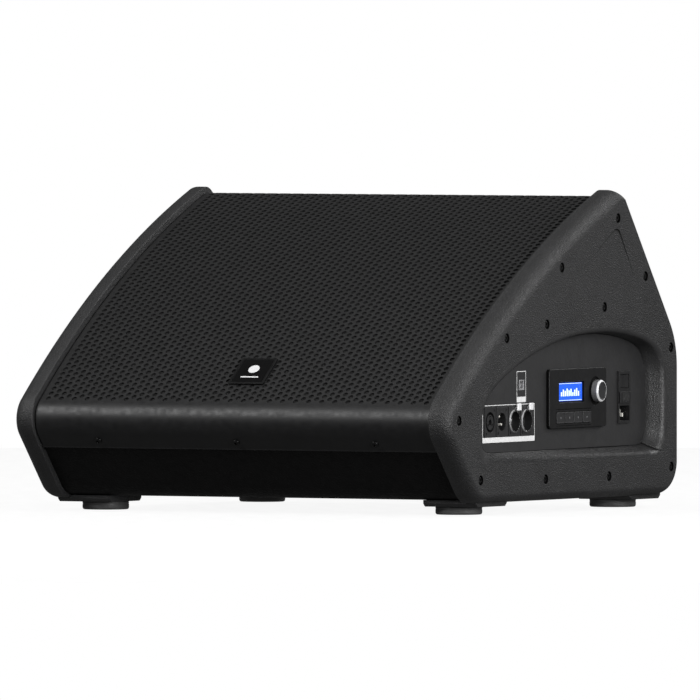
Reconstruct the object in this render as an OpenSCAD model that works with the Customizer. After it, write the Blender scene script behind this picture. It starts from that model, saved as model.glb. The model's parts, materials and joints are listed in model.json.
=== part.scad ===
// Stage monitor wedge: a powered coaxial floor loudspeaker.
// A plywood box is closed at both ends by moulded cheeks, the sloping front is
// covered by a bent perforated steel sheet, and the connectors and controls sit
// in a bay in the right cheek.
// Millimetres. +X is the right-hand cheek, -Y is the front, +Z is up.
// The origin is the middle of the footprint, on the surface the feet rest on.

/* [Overall] */
// Width across the outer faces of the two cheeks
body_w = 520; // [500:1:560]
// Depth from the front of the nose to the rear face
body_d = 512; // [508:1:516]
// Thickness of a cheek across the width
cheek_t = 24; // [24:0.5:26]
// Wall thickness of a cheek moulding
cheek_wall = 4; // [3.5:0.5:4.5]
// Radius of the long outer edge of a cheek
cheek_fillet = 15; // [12:0.5:15]

/* [Side outline] */
// Height of the underside of the cheeks
cheek_z = 12.5; // [12:0.5:13]
// Radius of the nose
nose_r = 31; // [29:0.5:32]
// Radius of the long bowed front edge
front_r = 1250; // [1200:10:1300]
// Radius of the top
apex_r = 22; // [20:0.5:24]
// Radius where the rear slope meets the vertical rear face
rear_r = 80; // [70:1:85]
// Radius of the lower rear corner
heel_r = 40; // [36:1:42]
// Radius of the lower front corner
toe_r = 40; // [36:1:42]

/* [Cabinet] */
// Thickness of the plywood panels
ply_t = 15; // [14:0.5:16]
// Thickness of the loudspeaker baffle
baffle_t = 18; // [15:1:18]
// Underside of the plywood box
box_z = 15.5; // [15.5:0.1:15.5]
// Bore of each bass port
port_bore = 64; // [56:1:66]
// Length of each bass port tube
port_len = 75; // [60:1:80]

/* [Grille] */
// Thickness of the grille sheet
grille_t = 1.6; // [1.2:0.1:1.6]
// Thickness of the foam behind the grille
foam_t = 3; // [2:0.5:3]
// Side of the square badge
badge_w = 42; // [38:1:44]

/* [Loudspeaker] */
// Outside diameter of the loudspeaker frame
frame_d = 312; // [308:1:314]
// Cutout in the baffle
cutout_d = 284; // [284:1:286]
// Diameter of the ring magnet
magnet_d = 184; // [170:1:188]

/* [Connector bay] */
// Angle between the connector plate and the cheek face
bay_tilt = 2.577; // [2.4:0.001:2.7]
// Thickness of the connector plate
plate_t = 2.5; // [2:0.1:2.5]
// Diameter of the round opening in each audio connector
xlr_bore = 19; // [18.8:0.1:19.2]
// Bore of the quarter inch jack in the combination socket
jack_bore = 6.5; // [6.45:0.01:6.6]
// Travel of each push button
button_travel = 0.8; // [0.5:0.1:0.9]
// Height of the rotary knob
knob_h = 8; // [7:0.5:8]

/* [Feet] */
// Diameter of a rubber foot
foot_d = 49; // [46:1:52]
// Height of a rubber foot
foot_h = 8.5; // [8.5:0.1:8.5]

/* [Hidden] */
$fn = 48;

half_w = body_w / 2;
cheek_x = half_w - cheek_t;      // inner face of a cheek
side_x = cheek_x - ply_t;        // inner face of a side panel

// ---- side outline, in the Y-Z plane with Y counted from the nose ----
nose_c = [31, 98.7];             // centre of the nose radius
front_a = 130.1;                 // direction of the outward normal where nose and front meet
lower_a = 222.3;                 // normal of the straight lower front
slope_a = 37.4;                  // normal of the rear slope
slope_d = 512.96;                // distance of the rear slope from the nose datum
function dir(a) = [cos(a), sin(a)];
front_c = nose_c + (nose_r - front_r) * dir(front_a);
apex_a = slope_a + acos((slope_d - apex_r - front_c * dir(slope_a)) / (front_r - apex_r));
apex_c = front_c + (front_r - apex_r) * dir(apex_a);
rear_c = [body_d - rear_r,
          (slope_d - rear_r - (body_d - rear_r) * cos(slope_a)) / sin(slope_a)];
heel_c = [body_d - heel_r, cheek_z + heel_r];
lower_d = nose_c * dir(lower_a) + nose_r;
toe_c = [(lower_d - toe_r - (cheek_z + toe_r) * sin(lower_a)) / cos(lower_a), cheek_z + toe_r];

function mix(a, b, t) = a + (b - a) * t;
// inset at a place on the outline, from the four insets d = [front, lower front, bottom, rear]
function inset(a, d) =
  a <= 0 ? mix(d[2], d[3], (a + 90) / 90) :
  a <= slope_a ? d[3] :
  a <= apex_a ? mix(d[3], d[0], (a - slope_a) / (apex_a - slope_a)) :
  a <= front_a ? d[0] :
  a <= lower_a ? mix(d[0], d[1], (a - front_a) / (lower_a - front_a)) :
  mix(d[1], d[2], (a - lower_a) / (270 - lower_a));
function arc(c, r, a0, a1, n, d, first = 0) =
  [for (i = [first:n]) let (a = a0 + (a1 - a0) * i / n) c + (r - inset(a, d)) * dir(a)];
function outline(d) = concat(
  arc(heel_c, heel_r, -90, 0, 8, d),
  arc(rear_c, rear_r, 0, slope_a, 5, d),
  arc(apex_c, apex_r, slope_a, apex_a, 7, d),
  arc(front_c, front_r, apex_a, front_a, 12, d, 1),
  arc(nose_c, nose_r, front_a, lower_a, 10, d, 1),
  arc(toe_c, toe_r, lower_a, 270, 6, d));

// ---- insets of the layers below the cheek outline ----
box_in = [9.8, 6, box_z - cheek_z, 10];
grille_in = [8, 3.2, 3.2, 8];
// the flat baffle
baffle_tilt = 31;
baffle_a = 90 + baffle_tilt;
baffle_d = 86;                   // distance of its front face from the nose datum

module in_body() { translate([0, -body_d / 2, 0]) children(); }
module along_x(x0, x1) { translate([x0, 0, 0]) rotate([90, 0, 90]) linear_extrude(x1 - x0) children(); }
// everything on the inner side of a straight line
module inside(a, d) { rotate(a) translate([d - 2000, -1000]) square([2000, 2000]); }
module both_sides() { children(); mirror([1, 0, 0]) children(); }

// ---- cheeks ----
cheek_screw_yz = [[376, 306], [251, 256], [438, 244], [346, 213], [218, 197], [129, 184],
                  [495, 168], [24, 100], [71.5, 37], [215, 35], [356, 35], [496, 42]];
foot_y = [114, 456];
foot_x = half_w - 49;

// a solid with the side outline, from x0 to x1, whose outer edge is rounded in steps
module rounded_slab(d, x0, x1, rx, rf) {
  steps = 5;
  q = 90 * (steps - 1) / steps;
  // the last ring runs on past x1 along the last step, and the flat face is cut at x1
  past = 1 / (rx * (1 - sin(q)));
  rings = concat([[x0, d]],
    [for (k = [0:steps - 1]) let (p = 90 * k / steps)
      [x1 - rx * (1 - sin(p)), [for (j = [0:3]) d[j] + rf[j] * (1 - cos(p))]]],
    [[x1 + 1, [for (j = [0:3]) d[j] + rf[j] * (1 + past * cos(q))]]]);
  pts = [for (r = rings) for (p = outline(r[1])) [r[0], p[0], p[1]]];
  n = len(outline(d));
  m = len(rings);
  intersection() {
  translate([x0 - 1, -100, -100]) cube([x1 - x0 + 1, 1000, 1000]);
  polyhedron(pts, concat(
    [[for (i = [0:n - 1]) i]],
    [[for (i = [n - 1:-1:0]) (m - 1) * n + i]],
    [for (k = [0:m - 2]) for (i = [0:n - 1]) let (j = (i + 1) % n)
      [k * n + i, (k + 1) * n + i, (k + 1) * n + j, k * n + j]]));
  }
}
module cheek_skin() {
  rounded_slab([0, 0, 0, 0], cheek_x, half_w, cheek_fillet, [cheek_fillet, cheek_fillet, cheek_fillet, 4]);
}
module cheek_core() {
  // the rim stays solid far enough in to close against the plywood side
  along_x(cheek_x - 1, half_w - cheek_wall) polygon(outline([17, 17, 17, 17]));
}
// ribs inside the moulding
module cheek_ribs() {
  for (y = [160, 300, 410]) translate([cheek_x, y - 1.5, 0]) cube([cheek_t - 2, 3, 400]);
}
module cheek_bosses() {
  for (p = cheek_screw_yz) translate([cheek_x, p[0], p[1]]) rotate([0, 90, 0]) cylinder(d = 16, h = cheek_t - 2);
}
module cheek_holes() {
  for (p = cheek_screw_yz) translate([cheek_x - 1, p[0], p[1]]) rotate([0, 90, 0]) {
    cylinder(d = 4.4, h = cheek_t + 2);
    translate([0, 0, 1 + cheek_t - 3.2]) cylinder(d = 9.6, h = 5);
  }
}
// pads under the cabinet that carry the feet, with sloping ends
module foot_pads() {
  for (y = foot_y) difference() {
    along_x(foot_x - 24, half_w - 10)
      polygon([[y - 34, box_z], [y - 34, 12], [y - 30, foot_h], [y + 30, foot_h], [y + 34, 12], [y + 34, box_z]]);
    translate([foot_x, y, 0]) cylinder(d = 4.6, h = 40);
  }
}

// ---- connector bay ----
bay_y = 62;                      // where the plane of the plate meets the face of the cheek
module at_bay() { translate([half_w, bay_y, 0]) rotate([0, 0, bay_tilt]) children(); }
rim_pts = [[70, 88], [71, 104], [78, 117], [92, 129], [114, 141], [145, 153], [180, 164],
  [215, 173], [250, 180], [290, 185], [330, 187], [370, 186.5], [405, 183], [437, 177],
  [461, 168], [475, 153], [480, 132], [480, 88], [477, 72], [467, 62], [450, 58.5],
  [300, 58.5], [150, 58.5], [90, 58.5], [76, 62], [71, 70]];
plate_pts = [[72, 88], [73, 102], [80, 114], [94, 126], [116, 138], [147, 150.5], [182, 162],
  [216, 171], [251, 178], [290, 183], [330, 185], [369, 184], [402, 180.5], [431, 175.5],
  [453, 168], [466, 155], [471, 136], [472, 92], [469, 78], [461, 69.5], [447, 65.5],
  [300, 65], [150, 65], [94, 65], [80, 68], [73, 75]];
// closed smooth curve through a list of points
function curve_at(p, i, t) = let (n = len(p), a = p[(i + n - 1) % n], b = p[i], c = p[(i + 1) % n], d = p[(i + 2) % n])
  0.5 * ((2 * b) + (c - a) * t + (2 * a - 5 * b + 4 * c - d) * t * t + (3 * b - a - 3 * c + d) * t * t * t);
function smooth(p, m) = [for (i = [0:len(p) - 1]) for (k = [0:m - 1]) curve_at(p, i, k / m)];
rim = smooth(rim_pts, 2);
plate_line = smooth(plate_pts, 2);
function local(p) = [p[0] - bay_y, p[1]];

module bay_cut() {
  n = len(rim);
  foot = [for (p = plate_line) let (v = p[0] - bay_y) [half_w - v * sin(bay_tilt), bay_y + v * cos(bay_tilt), p[1]]];
  // the flared wall runs on for 1 mm past the face of the cheek
  lip = [for (i = [0:n - 1]) let (a = foot[i], b = [half_w, rim[i][0], rim[i][1]])
    a + (b - a) * (half_w + 1 - a[0]) / (half_w - a[0])];
  polyhedron(concat(foot, lip), concat(
    [[for (i = [n - 1:-1:0]) i]],
    [[for (i = [0:n - 1]) n + i]],
    [for (i = [0:n - 1]) let (j = (i + 1) % n) [i, j, n + j, n + i]]));
  // straight through behind the plate
  at_bay() along_x(-40, 0.01) polygon([for (p = plate_line) local(p)]);
}
module bay_wall() { along_x(cheek_x - 2, half_w - 1) offset(delta = 3.5) polygon(rim); }

module right_cheek() color([0.13, 0.13, 0.135]) in_body() {
  difference() {
    union() {
      difference() {
        cheek_skin();
        difference() { cheek_core(); bay_wall(); cheek_bosses(); cheek_ribs(); }
      }
      foot_pads();
    }
    bay_cut();
    cheek_holes();
  }
}
module left_cheek() color([0.13, 0.13, 0.135]) in_body() mirror([1, 0, 0]) {
  difference() {
    union() {
      difference() {
        cheek_skin();
        difference() { cheek_core(); cheek_bosses(); cheek_ribs(); }
      }
      foot_pads();
    }
    cheek_holes();
  }
}

// ---- plywood box ----
tray_y = [196, 458];             // deep part of the amplifier tray
tray_z = [66, 176];
// outline of the tray where it passes through the side panel
tray_line = [[86, 66], [86, 108], [196, 172], [206, 176], [458, 176], [458, 66]];
module side_blank() {
  difference() {
    along_x(side_x, cheek_x) polygon(outline(box_in));
    for (p = cheek_screw_yz) translate([side_x + 2, p[0], p[1]]) rotate([0, 90, 0]) cylinder(d = 4.1, h = ply_t);
  }
}
module side_panel_right() color([0.16, 0.14, 0.12]) in_body() difference() {
  side_blank();
  for (p = tray_screw_yz) translate([side_x - 1, p[0], p[1]]) rotate([0, 90, 0]) cylinder(d = 3.7, h = 9);
  along_x(side_x - 1, cheek_x + 1) offset(delta = 1) polygon(tray_line);
}
module side_panel_left() color([0.16, 0.14, 0.12]) in_body() mirror([1, 0, 0]) side_blank();

module panel(w = 0) { in_body() along_x(-side_x, side_x) intersection() { polygon(outline(box_in)); children(); } }
rear_y = body_d - box_in[3];
module bottom_panel() color([0.2, 0.17, 0.14]) difference() {
  panel() intersection() {
    inside(90, box_z + ply_t);
    inside(lower_a, lower_d - box_in[1] - ply_t);
    inside(0, rear_y - ply_t);
  }
  in_body() both_sides() for (y = foot_y) translate([foot_x, y, 0]) cylinder(d = 4.1, h = box_z + 12);
}
module rear_panel() color([0.2, 0.17, 0.14]) panel() difference() {
  inside(0, rear_y);
  inside(0, rear_y - ply_t);
}
module rear_slope_panel() color([0.2, 0.17, 0.14]) panel() difference() {
  intersection() {
    inside(slope_a, slope_d - box_in[3]);
    inside(0, rear_y - ply_t);
    inside(baffle_a, baffle_d - baffle_t);
  }
  inside(slope_a, slope_d - box_in[3] - ply_t);
}
module lower_front_panel() color([0.07, 0.065, 0.06]) difference() {
  panel() difference() {
    inside(baffle_a, baffle_d - baffle_t);
    inside(lower_a, lower_d - box_in[1] - ply_t);
  }
  for (x = [-165, 0, 165]) at_lower(x, 7) translate([0, 0, -14]) cylinder(d = 3.6, h = 20);
}
// frame on the lower front of the grille: z is the outward normal, t runs down from the nose
module at_lower(x, t) {
  p = nose_c + (nose_r - grille_in[1]) * dir(lower_a) + t * dir(lower_a + 90);
  in_body() translate([x, p[0], p[1]]) rotate([90 + lower_a - 180, 0, 0]) children();
}

// ---- frame on the baffle: z is the outward normal, y runs up the slope ----
driver_y = 178;
driver_z = (baffle_d - driver_y * cos(baffle_a)) / sin(baffle_a);
module at_baffle() in_body() translate([0, driver_y, driver_z]) rotate([baffle_tilt, 0, 0]) children();
port_x = 174;
port_y = 139;
screw_pcd = frame_d - 14;

module baffle() color([0.2, 0.17, 0.14]) difference() {
  panel() difference() {
    inside(baffle_a, baffle_d);
    inside(baffle_a, baffle_d - baffle_t);
  }
  at_baffle() {
    translate([0, 0, -40]) cylinder(d = cutout_d, h = 80, $fn = 96);
    both_sides() translate([port_x, port_y, -40]) cylinder(d = port_bore + 6, h = 80);
    for (i = [0:7]) rotate(22.5 + 45 * i) translate([screw_pcd / 2, 0, -12]) cylinder(d = 4.1, h = 20);
  }
}
module bass_ports() color([0.08, 0.08, 0.08]) at_baffle() both_sides() translate([port_x, port_y, 0])
  rotate_extrude() polygon([[port_bore / 2 + 1, 2], [port_bore / 2, -1], [port_bore / 2, -port_len],
    [port_bore / 2 + 2.8, -port_len], [port_bore / 2 + 2.8, 0], [port_bore / 2 + 8, 0], [port_bore / 2 + 8, 2]]);

// ---- grille ----
function sheet(d) = concat(
  [apex_c + (apex_r - d[3]) * dir(slope_a) + 14 * dir(slope_a - 90)],
  arc(apex_c, apex_r, slope_a, apex_a, 8, d),
  arc(front_c, front_r, apex_a, front_a, 16, d, 1),
  arc(nose_c, nose_r, front_a, lower_a, 12, d, 1),
  [nose_c + (nose_r - d[1]) * dir(lower_a) + 17 * dir(lower_a + 90)]);
function flip(p) = [for (i = [len(p) - 1:-1:0]) p[i]];
function deeper(d, t) = [for (x = d) x + t];
grille_x = cheek_x - 0.6;
module grille() color([0.05, 0.05, 0.052]) difference() {
  in_body() along_x(-grille_x, grille_x)
    polygon(concat(sheet(grille_in), flip(sheet(deeper(grille_in, grille_t)))));
  for (x = [-165, 0, 165]) at_lower(x, 7) translate([0, 0, -8]) cylinder(d = 4.4, h = 16);
}
module grille_foam() color([0.03, 0.03, 0.03]) in_body() along_x(-side_x + 2, side_x - 2) {
  a = deeper(grille_in, grille_t);
  b = deeper(a, foam_t);
  polygon(concat(
    arc(front_c, front_r, apex_a, front_a, 16, a, 1),
    flip(arc(front_c, front_r, apex_a, front_a, 16, b, 1))));
}
badge_a = 127.9;                 // place of the badge on the bowed front
module badge() color([0.02, 0.02, 0.022]) {
  r = front_r - grille_in[0];
  in_body() translate([0, front_c[0], front_c[1]]) rotate([badge_a - 90, 0, 0]) translate([-badge_w / 2, -badge_w / 2, r + 0.25])
    difference() {
      cube([badge_w, badge_w, 1.6]);
      // plain inlaid border
      translate([3, 3, 1.1]) difference() { cube([badge_w - 6, badge_w - 6, 2]); translate([1, 1, -1]) cube([badge_w - 8, badge_w - 8, 4]); }
    }
}

// ---- coaxial loudspeaker ----
module woofer_frame() color([0.1, 0.1, 0.1]) at_baffle() difference() {
  rotate_extrude($fn = 96) polygon([[141, 4], [frame_d / 2 - 1, 4], [frame_d / 2, 3], [frame_d / 2, 0], [141.5, 0],
    [141.5, -8], [99, -79], [99, -84], [58, -84], [58, -81], [93, -81], [93, -70], [96.5, -70], [137, -6], [141, 0]]);
  for (i = [0:5]) rotate(60 * i) translate([86, -26, -66]) cube([60, 52, 50]);
  for (i = [0:7]) rotate(22.5 + 45 * i) translate([screw_pcd / 2, 0, -1]) cylinder(d = 5, h = 10);
}
module woofer_surround() color([0.06, 0.06, 0.06]) at_baffle() rotate_extrude($fn = 96) polygon(concat(
  [for (i = [0:10]) let (a = 180 - 18 * i) [133 + 7.5 * cos(a), 0.4 + 7.5 * sin(a)]],
  [[140.9, 0]],
  [for (i = [1:9]) let (a = 18 * i) [133 + 6.5 * cos(a), 0.4 + 6.5 * sin(a)]],
  [[125.5, 0]]));
module woofer_spider() color([0.5, 0.35, 0.12]) at_baffle() rotate_extrude($fn = 96) polygon(concat(
  [for (i = [0:20]) [51.3 + i * 2.2, -69.1 + (i < 18 ? 1.2 : 0) * sin(i * 72)]],
  [for (i = [20:-1:0]) [51.3 + i * 2.2, -69.9 + (i < 18 ? 1.2 : 0) * sin(i * 72)]]));
module woofer_cone() color([0.07, 0.07, 0.07]) at_baffle() rotate_extrude($fn = 96)
  polygon([[51.2, -62], [53, -62], [127.5, -1.6], [127.5, 0], [124, 0], [51.2, -59.5]]);
module voice_coil() color([0.72, 0.4, 0.2]) at_baffle() rotate_extrude($fn = 96)
  polygon([[50, -98], [52.2, -98], [52.2, -80], [51.2, -80], [51.2, -59.5], [50, -59.5]]);
module magnet_top_plate() color([0.45, 0.45, 0.46]) at_baffle() difference() {
  translate([0, 0, -92]) cylinder(d = magnet_d - 6, h = 8, $fn = 96);
  translate([0, 0, -94]) cylinder(d = 106.4, h = 12, $fn = 96);
}
module ring_magnet() color([0.16, 0.16, 0.17]) at_baffle() difference() {
  translate([0, 0, -112]) cylinder(d = magnet_d, h = 20, $fn = 96);
  translate([0, 0, -114]) cylinder(d = 114, h = 24, $fn = 96);
}
module pole_piece() color([0.45, 0.45, 0.46]) at_baffle() difference() {
  union() {
    translate([0, 0, -122]) cylinder(d = magnet_d - 8, h = 10, $fn = 96);
    translate([0, 0, -113]) cylinder(d = 97.6, h = 31, $fn = 96);
  }
  translate([0, 0, -124]) cylinder(d = 30, h = 50);
}
module hf_horn() color([0.08, 0.08, 0.08]) at_baffle() rotate_extrude($fn = 64)
  polygon([[12, -82], [30, -82], [30, -79], [16, -79], [19, -64], [27, -48], [38, -37], [46, -32],
    [46, -30], [44, -30], [35, -34], [24, -46], [16.5, -63], [12.5, -80]]);
module hf_driver() color([0.12, 0.12, 0.125]) at_baffle() difference() {
  union() {
    translate([0, 0, -158]) cylinder(d = 86, h = 30);
    translate([0, 0, -128]) cylinder(d = 64, h = 6);
  }
  translate([0, 0, -154]) cylinder(d = 58, h = 14);
  translate([0, 0, -142]) cylinder(d = 28, h = 30);
}
module hf_diaphragm() color([0.7, 0.7, 0.72]) at_baffle() rotate_extrude($fn = 64)
  polygon(concat([[28.9, -152], [22, -152]],
    [for (i = [0:6]) let (a = 42 - 7 * i) [33 * sin(a), -152 - 24.5 + 33 * cos(a)]],
    [for (i = [0:6]) let (a = 7 * i) [32.7 * sin(a), -152.3 - 24.5 + 32.7 * cos(a)]],
    [[22, -152.3], [28.9, -152.3]]));
module speaker_leads() color([0.5, 0.08, 0.06]) in_body() {
  // a pair of leads from the bottom of the amplifier tray to the woofer terminals
  for (z = [136, 140]) translate([99.9, 219.7, z]) rotate([0, 90, 0]) cylinder(d = 2.6, h = tray_x - 99.95);
}

// ---- amplifier, in the opening of the right side panel ----
tray_x = side_x - 68;            // bottom of the tray
module amplifier_tray() color([0.6, 0.6, 0.62]) in_body() difference() {
  union() {
    translate([tray_x, tray_y[0], tray_z[0]]) cube([side_x - tray_x, tray_y[1] - tray_y[0], tray_z[1] - tray_z[0]]);
    along_x(side_x - 2, cheek_x) polygon(tray_line);
    along_x(side_x - 2, side_x) offset(delta = 10) polygon(tray_line);
  }
  translate([tray_x + 2, tray_y[0] + 2, tray_z[0] + 2])
    cube([side_x - tray_x - 4.5, tray_y[1] - tray_y[0] - 4, tray_z[1] - tray_z[0] - 4]);
  // the mouth of the deep part, in the floor of the shallow one
  along_x(side_x - 3, side_x + 0.5) polygon([[198, 68], [198, 170.8], [206.4, 174], [456, 174], [456, 68]]);
  along_x(side_x, cheek_x + 1) offset(delta = -2) polygon(tray_line);
  for (p = tray_screw_yz) translate([side_x - 5, p[0], p[1]]) rotate([0, 90, 0]) cylinder(d = 4.2, h = 5);
}
tray_screw_yz = [[81, 76], [81, 102], [463, 76], [463, 166], [300, 181], [300, 61]];
module tray_screws() color([0.3, 0.3, 0.3]) in_body() for (p = tray_screw_yz)
  translate([side_x - 2, p[0], p[1]]) rotate([0, -90, 0]) { cylinder(d = 8, h = 2.4); translate([0, 0, -9]) cylinder(d = 3.6, h = 9.5); }
module amplifier_board() color([0.04, 0.22, 0.12]) in_body() {
  translate([tray_x + 8, 204, 76]) cube([1.6, 80, 90]);
  translate([tray_x + 9.6, 212, 88]) cube([18, 16, 16]);
  translate([tray_x + 9.6, 212, 124]) cube([22, 24, 24]);
  for (y = [250, 268], z = [96, 118]) translate([tray_x + 9.6, y, z]) rotate([0, 90, 0]) cylinder(d = 12, h = 20);
  for (y = [209, 279], z = [81, 161]) translate([tray_x + 2, y, z]) rotate([0, 90, 0]) cylinder(d = 6, h = 6);
}
module power_supply_board() color([0.35, 0.25, 0.08]) in_body() {
  translate([tray_x + 8, 348, 76]) cube([1.6, 104, 90]);
  translate([tray_x + 9.6, 356, 96]) cube([30, 38, 36]);
  for (z = [92, 120, 148]) translate([tray_x + 9.6, 414, z]) rotate([0, 90, 0]) cylinder(d = 24, h = 32);
  for (y = [353, 447], z = [81, 161]) translate([tray_x + 2, y, z]) rotate([0, 90, 0]) cylinder(d = 6, h = 6);
}
module heatsink() color([0.55, 0.55, 0.57]) in_body() {
  translate([tray_x + 2, 290, 74]) cube([4, 52, 94]);
  for (i = [0:7]) translate([tray_x + 6, 292 + i * 6.4, 76]) cube([22, 2, 90]);
}

// ---- connector plate and what it carries ----
xlr_z = 97;
combo_v = 31;
xlr_v = 59.5;
net_v = [89, 118];
usb_v = 107.5;
usb_z = 134.5;
bezel_v = [168, 307];
bezel_z = [87.2, 149.5];
bezel_h = 3.8;
lcd_v = [192, 252.5];
lcd_z = [114, 136];
key_v0 = 184.4;
key_w = 21.2;
key_z = [91.8, 104.4];
enc_v = 279.7;
enc_z = 125;
pow_v = [341, 370.2];
pow_z = [89.7, 144.4];

// block in the bay's own frame: u outward, v towards the rear, z up
module block(u, v, z) { translate([u[0], v[0], z[0]]) cube([u[1] - u[0], v[1] - v[0], z[1] - z[0]]); }
module rod(u, v, z, d) { translate([u[0], v, z]) rotate([0, 90, 0]) cylinder(d = d, h = u[1] - u[0]); }

spacer_vz = [[70, 76], [76, 122], [148, 76], [148, 136], [320, 76], [320, 160]];
module connector_plate() color([0.14, 0.14, 0.145]) in_body() at_bay() difference() {
  along_x(-plate_t, 0) offset(delta = -0.3) polygon([for (p = plate_line) local(p)]);
  for (v = [combo_v, xlr_v, net_v[0], net_v[1]]) rod([-5, 5], v, xlr_z, 24);
  for (v = net_v) block([-5, 5], [v + 2.4, v + 12.2], [xlr_z + 10.4, xlr_z + 15.4]);
  block([-5, 5], [usb_v - 6.2, usb_v + 6.2], [usb_z - 5.7, usb_z + 5.7]);
  block([-5, 5], [bezel_v[0] + 4, bezel_v[1] - 4], [bezel_z[0] + 3, bezel_z[1] - 3]);
  block([-5, 5], [pow_v[0] + 1.5, pow_v[1] - 1.5], [pow_z[0] + 1.5, pow_z[1] - 1.5]);
}
module io_board() color([0.04, 0.22, 0.12]) in_body() at_bay() difference() {
  // two boards, the front one cut to stay inside the sloping top of the tray
  union() {
    along_x(-21.6, -20) polygon([[28, 72], [28, 101], [92, 138], [156, 138], [156, 72]]);
    block([-21.6, -20], [172, 326], [72, 166]);
  }
  for (p = spacer_vz) rod([-24, -18], p[0], p[1], 3.2);
}
module board_spacers() color([0.7, 0.6, 0.3]) in_body() at_bay() for (p = spacer_vz)
  translate([-20, p[0], p[1]]) rotate([0, 90, 0]) cylinder(d = 6, h = 20 - plate_t);

module flange(v) {
  difference() {
    block([0, 0.8], [v - 13, v + 13], [xlr_z - 15.5, xlr_z + 15.5]);
    for (s = [-1, 1]) rod([-1, 3], v + s * 9.5, xlr_z + s * 12, 3.2);
  }
}
module combo_jack() color([0.07, 0.07, 0.07]) in_body() at_bay() difference() {
  union() {
    flange(combo_v);
    rod([-20, 0.8], combo_v, xlr_z, 23.8);
  }
  // annular slot for the plug shell
  difference() { rod([-14, 4], combo_v, xlr_z, 21.5); rod([-16, 6], combo_v, xlr_z, 15.8); }
  rod([-19, 4], combo_v, xlr_z, jack_bore);
  for (a = [90, 210, 330]) rod([-12, 4], combo_v + 5.6 * cos(a), xlr_z + 5.6 * sin(a), 2.9);
}
module xlr_socket() color([0.07, 0.07, 0.07]) in_body() at_bay() difference() {
  union() {
    flange(xlr_v);
    rod([-20, 0.8], xlr_v, xlr_z, 23.8);
  }
  rod([-14, 4], xlr_v, xlr_z, xlr_bore);
  for (a = [90, 210, 330]) rod([-21, -13], xlr_v + 5.6 * cos(a), xlr_z + 5.6 * sin(a), 2.42);
}
module xlr_pins() color([0.85, 0.8, 0.6]) in_body() at_bay()
  for (a = [90, 210, 330]) rod([-20, -2], xlr_v + 5.6 * cos(a), xlr_z + 5.6 * sin(a), 2.4);
module network_sockets() color([0.7, 0.7, 0.72]) in_body() at_bay() for (v = net_v) difference() {
  union() {
    flange(v);
    rod([-20, 2.6], v, xlr_z, 23.8);
  }
  rod([-6, 4], v, xlr_z, 21);
  block([-18, 4], [v - 6, v + 6], [xlr_z - 5, xlr_z + 4]);
  // pocket for the release tab
  block([-5.2, 6], [v + 2.4, v + 12.2], [xlr_z + 10.4, xlr_z + 16]);
}
module network_latch_1() color([0.8, 0.8, 0.82]) in_body() at_bay() latch_tab(net_v[0]);
module network_latch_2() color([0.8, 0.8, 0.82]) in_body() at_bay() latch_tab(net_v[1]);
module latch_tab(v) {
  block([1.9, 4], [v + 2.8, v + 11.8], [xlr_z + 11, xlr_z + 18.5]);
  block([-3.4, 2], [v + 4.4, v + 10.2], [xlr_z + 11, xlr_z + 15]);
}
module usb_socket() color([0.75, 0.75, 0.76]) in_body() at_bay() {
  difference() {
    block([-20, 0.6], [usb_v - 6, usb_v + 6], [usb_z - 5.4, usb_z + 5.4]);
    block([-12, 4], [usb_v - 4.4, usb_v + 4.4], [usb_z - 4, usb_z + 4]);
  }
  block([-13, -1.5], [usb_v - 2.8, usb_v + 2.8], [usb_z - 1.6, usb_z + 1.6]);
}

module control_bezel() color([0.06, 0.06, 0.062]) in_body() at_bay() difference() {
  union() {
    difference() {
      block([0, bezel_h], bezel_v, bezel_z);
      block([-1, bezel_h - 1.8], [bezel_v[0] + 5.5, bezel_v[1] - 5.5], [bezel_z[0] + 4.5, bezel_z[1] - 4.5]);
    }
    difference() {
      block([-12, 0.01], [bezel_v[0] + 4.3, bezel_v[1] - 4.3], [bezel_z[0] + 3.3, bezel_z[1] - 3.3]);
      block([-13, 1], [bezel_v[0] + 5.5, bezel_v[1] - 5.5], [bezel_z[0] + 4.5, bezel_z[1] - 4.5]);
    }
  }
  // window, key openings and the well of the knob
  block([-1, 6], lcd_v, lcd_z);
  for (i = [0:3]) block([-1, 6], [key_v0 + i * key_w + 0.3, key_v0 + (i + 1) * key_w - 0.3], key_z);
  rod([-1, 6], enc_v, enc_z, 13);
  rod([bezel_h - 1, 6], enc_v, enc_z, 30);
}
module display() color([0.05, 0.3, 0.95]) in_body() at_bay() {
  block([bezel_h - 4.3, bezel_h - 1.9], [lcd_v[0] - 2, lcd_v[1] + 2], [lcd_z[0] - 2, lcd_z[1] + 2]);
  // module behind it
  block([bezel_h - 12, bezel_h - 4.3], [lcd_v[0] - 4, lcd_v[1] + 4], [lcd_z[0] - 3, lcd_z[1] + 5]);
}
module key(i) {
  v = [key_v0 + i * key_w + 0.7, key_v0 + (i + 1) * key_w - 0.7];
  z = [key_z[0] + 0.4, key_z[1] - 0.4];
  block([bezel_h - 3.4, bezel_h + 0.7], v, z);
  // stem, ending short of the board by its travel and a little more
  block([bezel_h - 8.8 + button_travel, bezel_h - 3.3], [(v[0] + v[1]) / 2 - 2, (v[0] + v[1]) / 2 + 2], [(z[0] + z[1]) / 2 - 2, (z[0] + z[1]) / 2 + 2]);
}
module button_1() color([0.1, 0.1, 0.1]) in_body() at_bay() key(0);
module button_2() color([0.1, 0.1, 0.1]) in_body() at_bay() key(1);
module button_3() color([0.1, 0.1, 0.1]) in_body() at_bay() key(2);
module button_4() color([0.1, 0.1, 0.1]) in_body() at_bay() key(3);
module encoder_body() color([0.3, 0.3, 0.32]) in_body() at_bay() difference() {
  union() {
    block([-16, -8], [enc_v - 6, enc_v + 6], [enc_z - 6, enc_z + 6]);
    rod([-8.01, -1.5], enc_v, enc_z, 9);
  }
  rod([-14.5, 4], enc_v, enc_z, 6.1);
}
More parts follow.
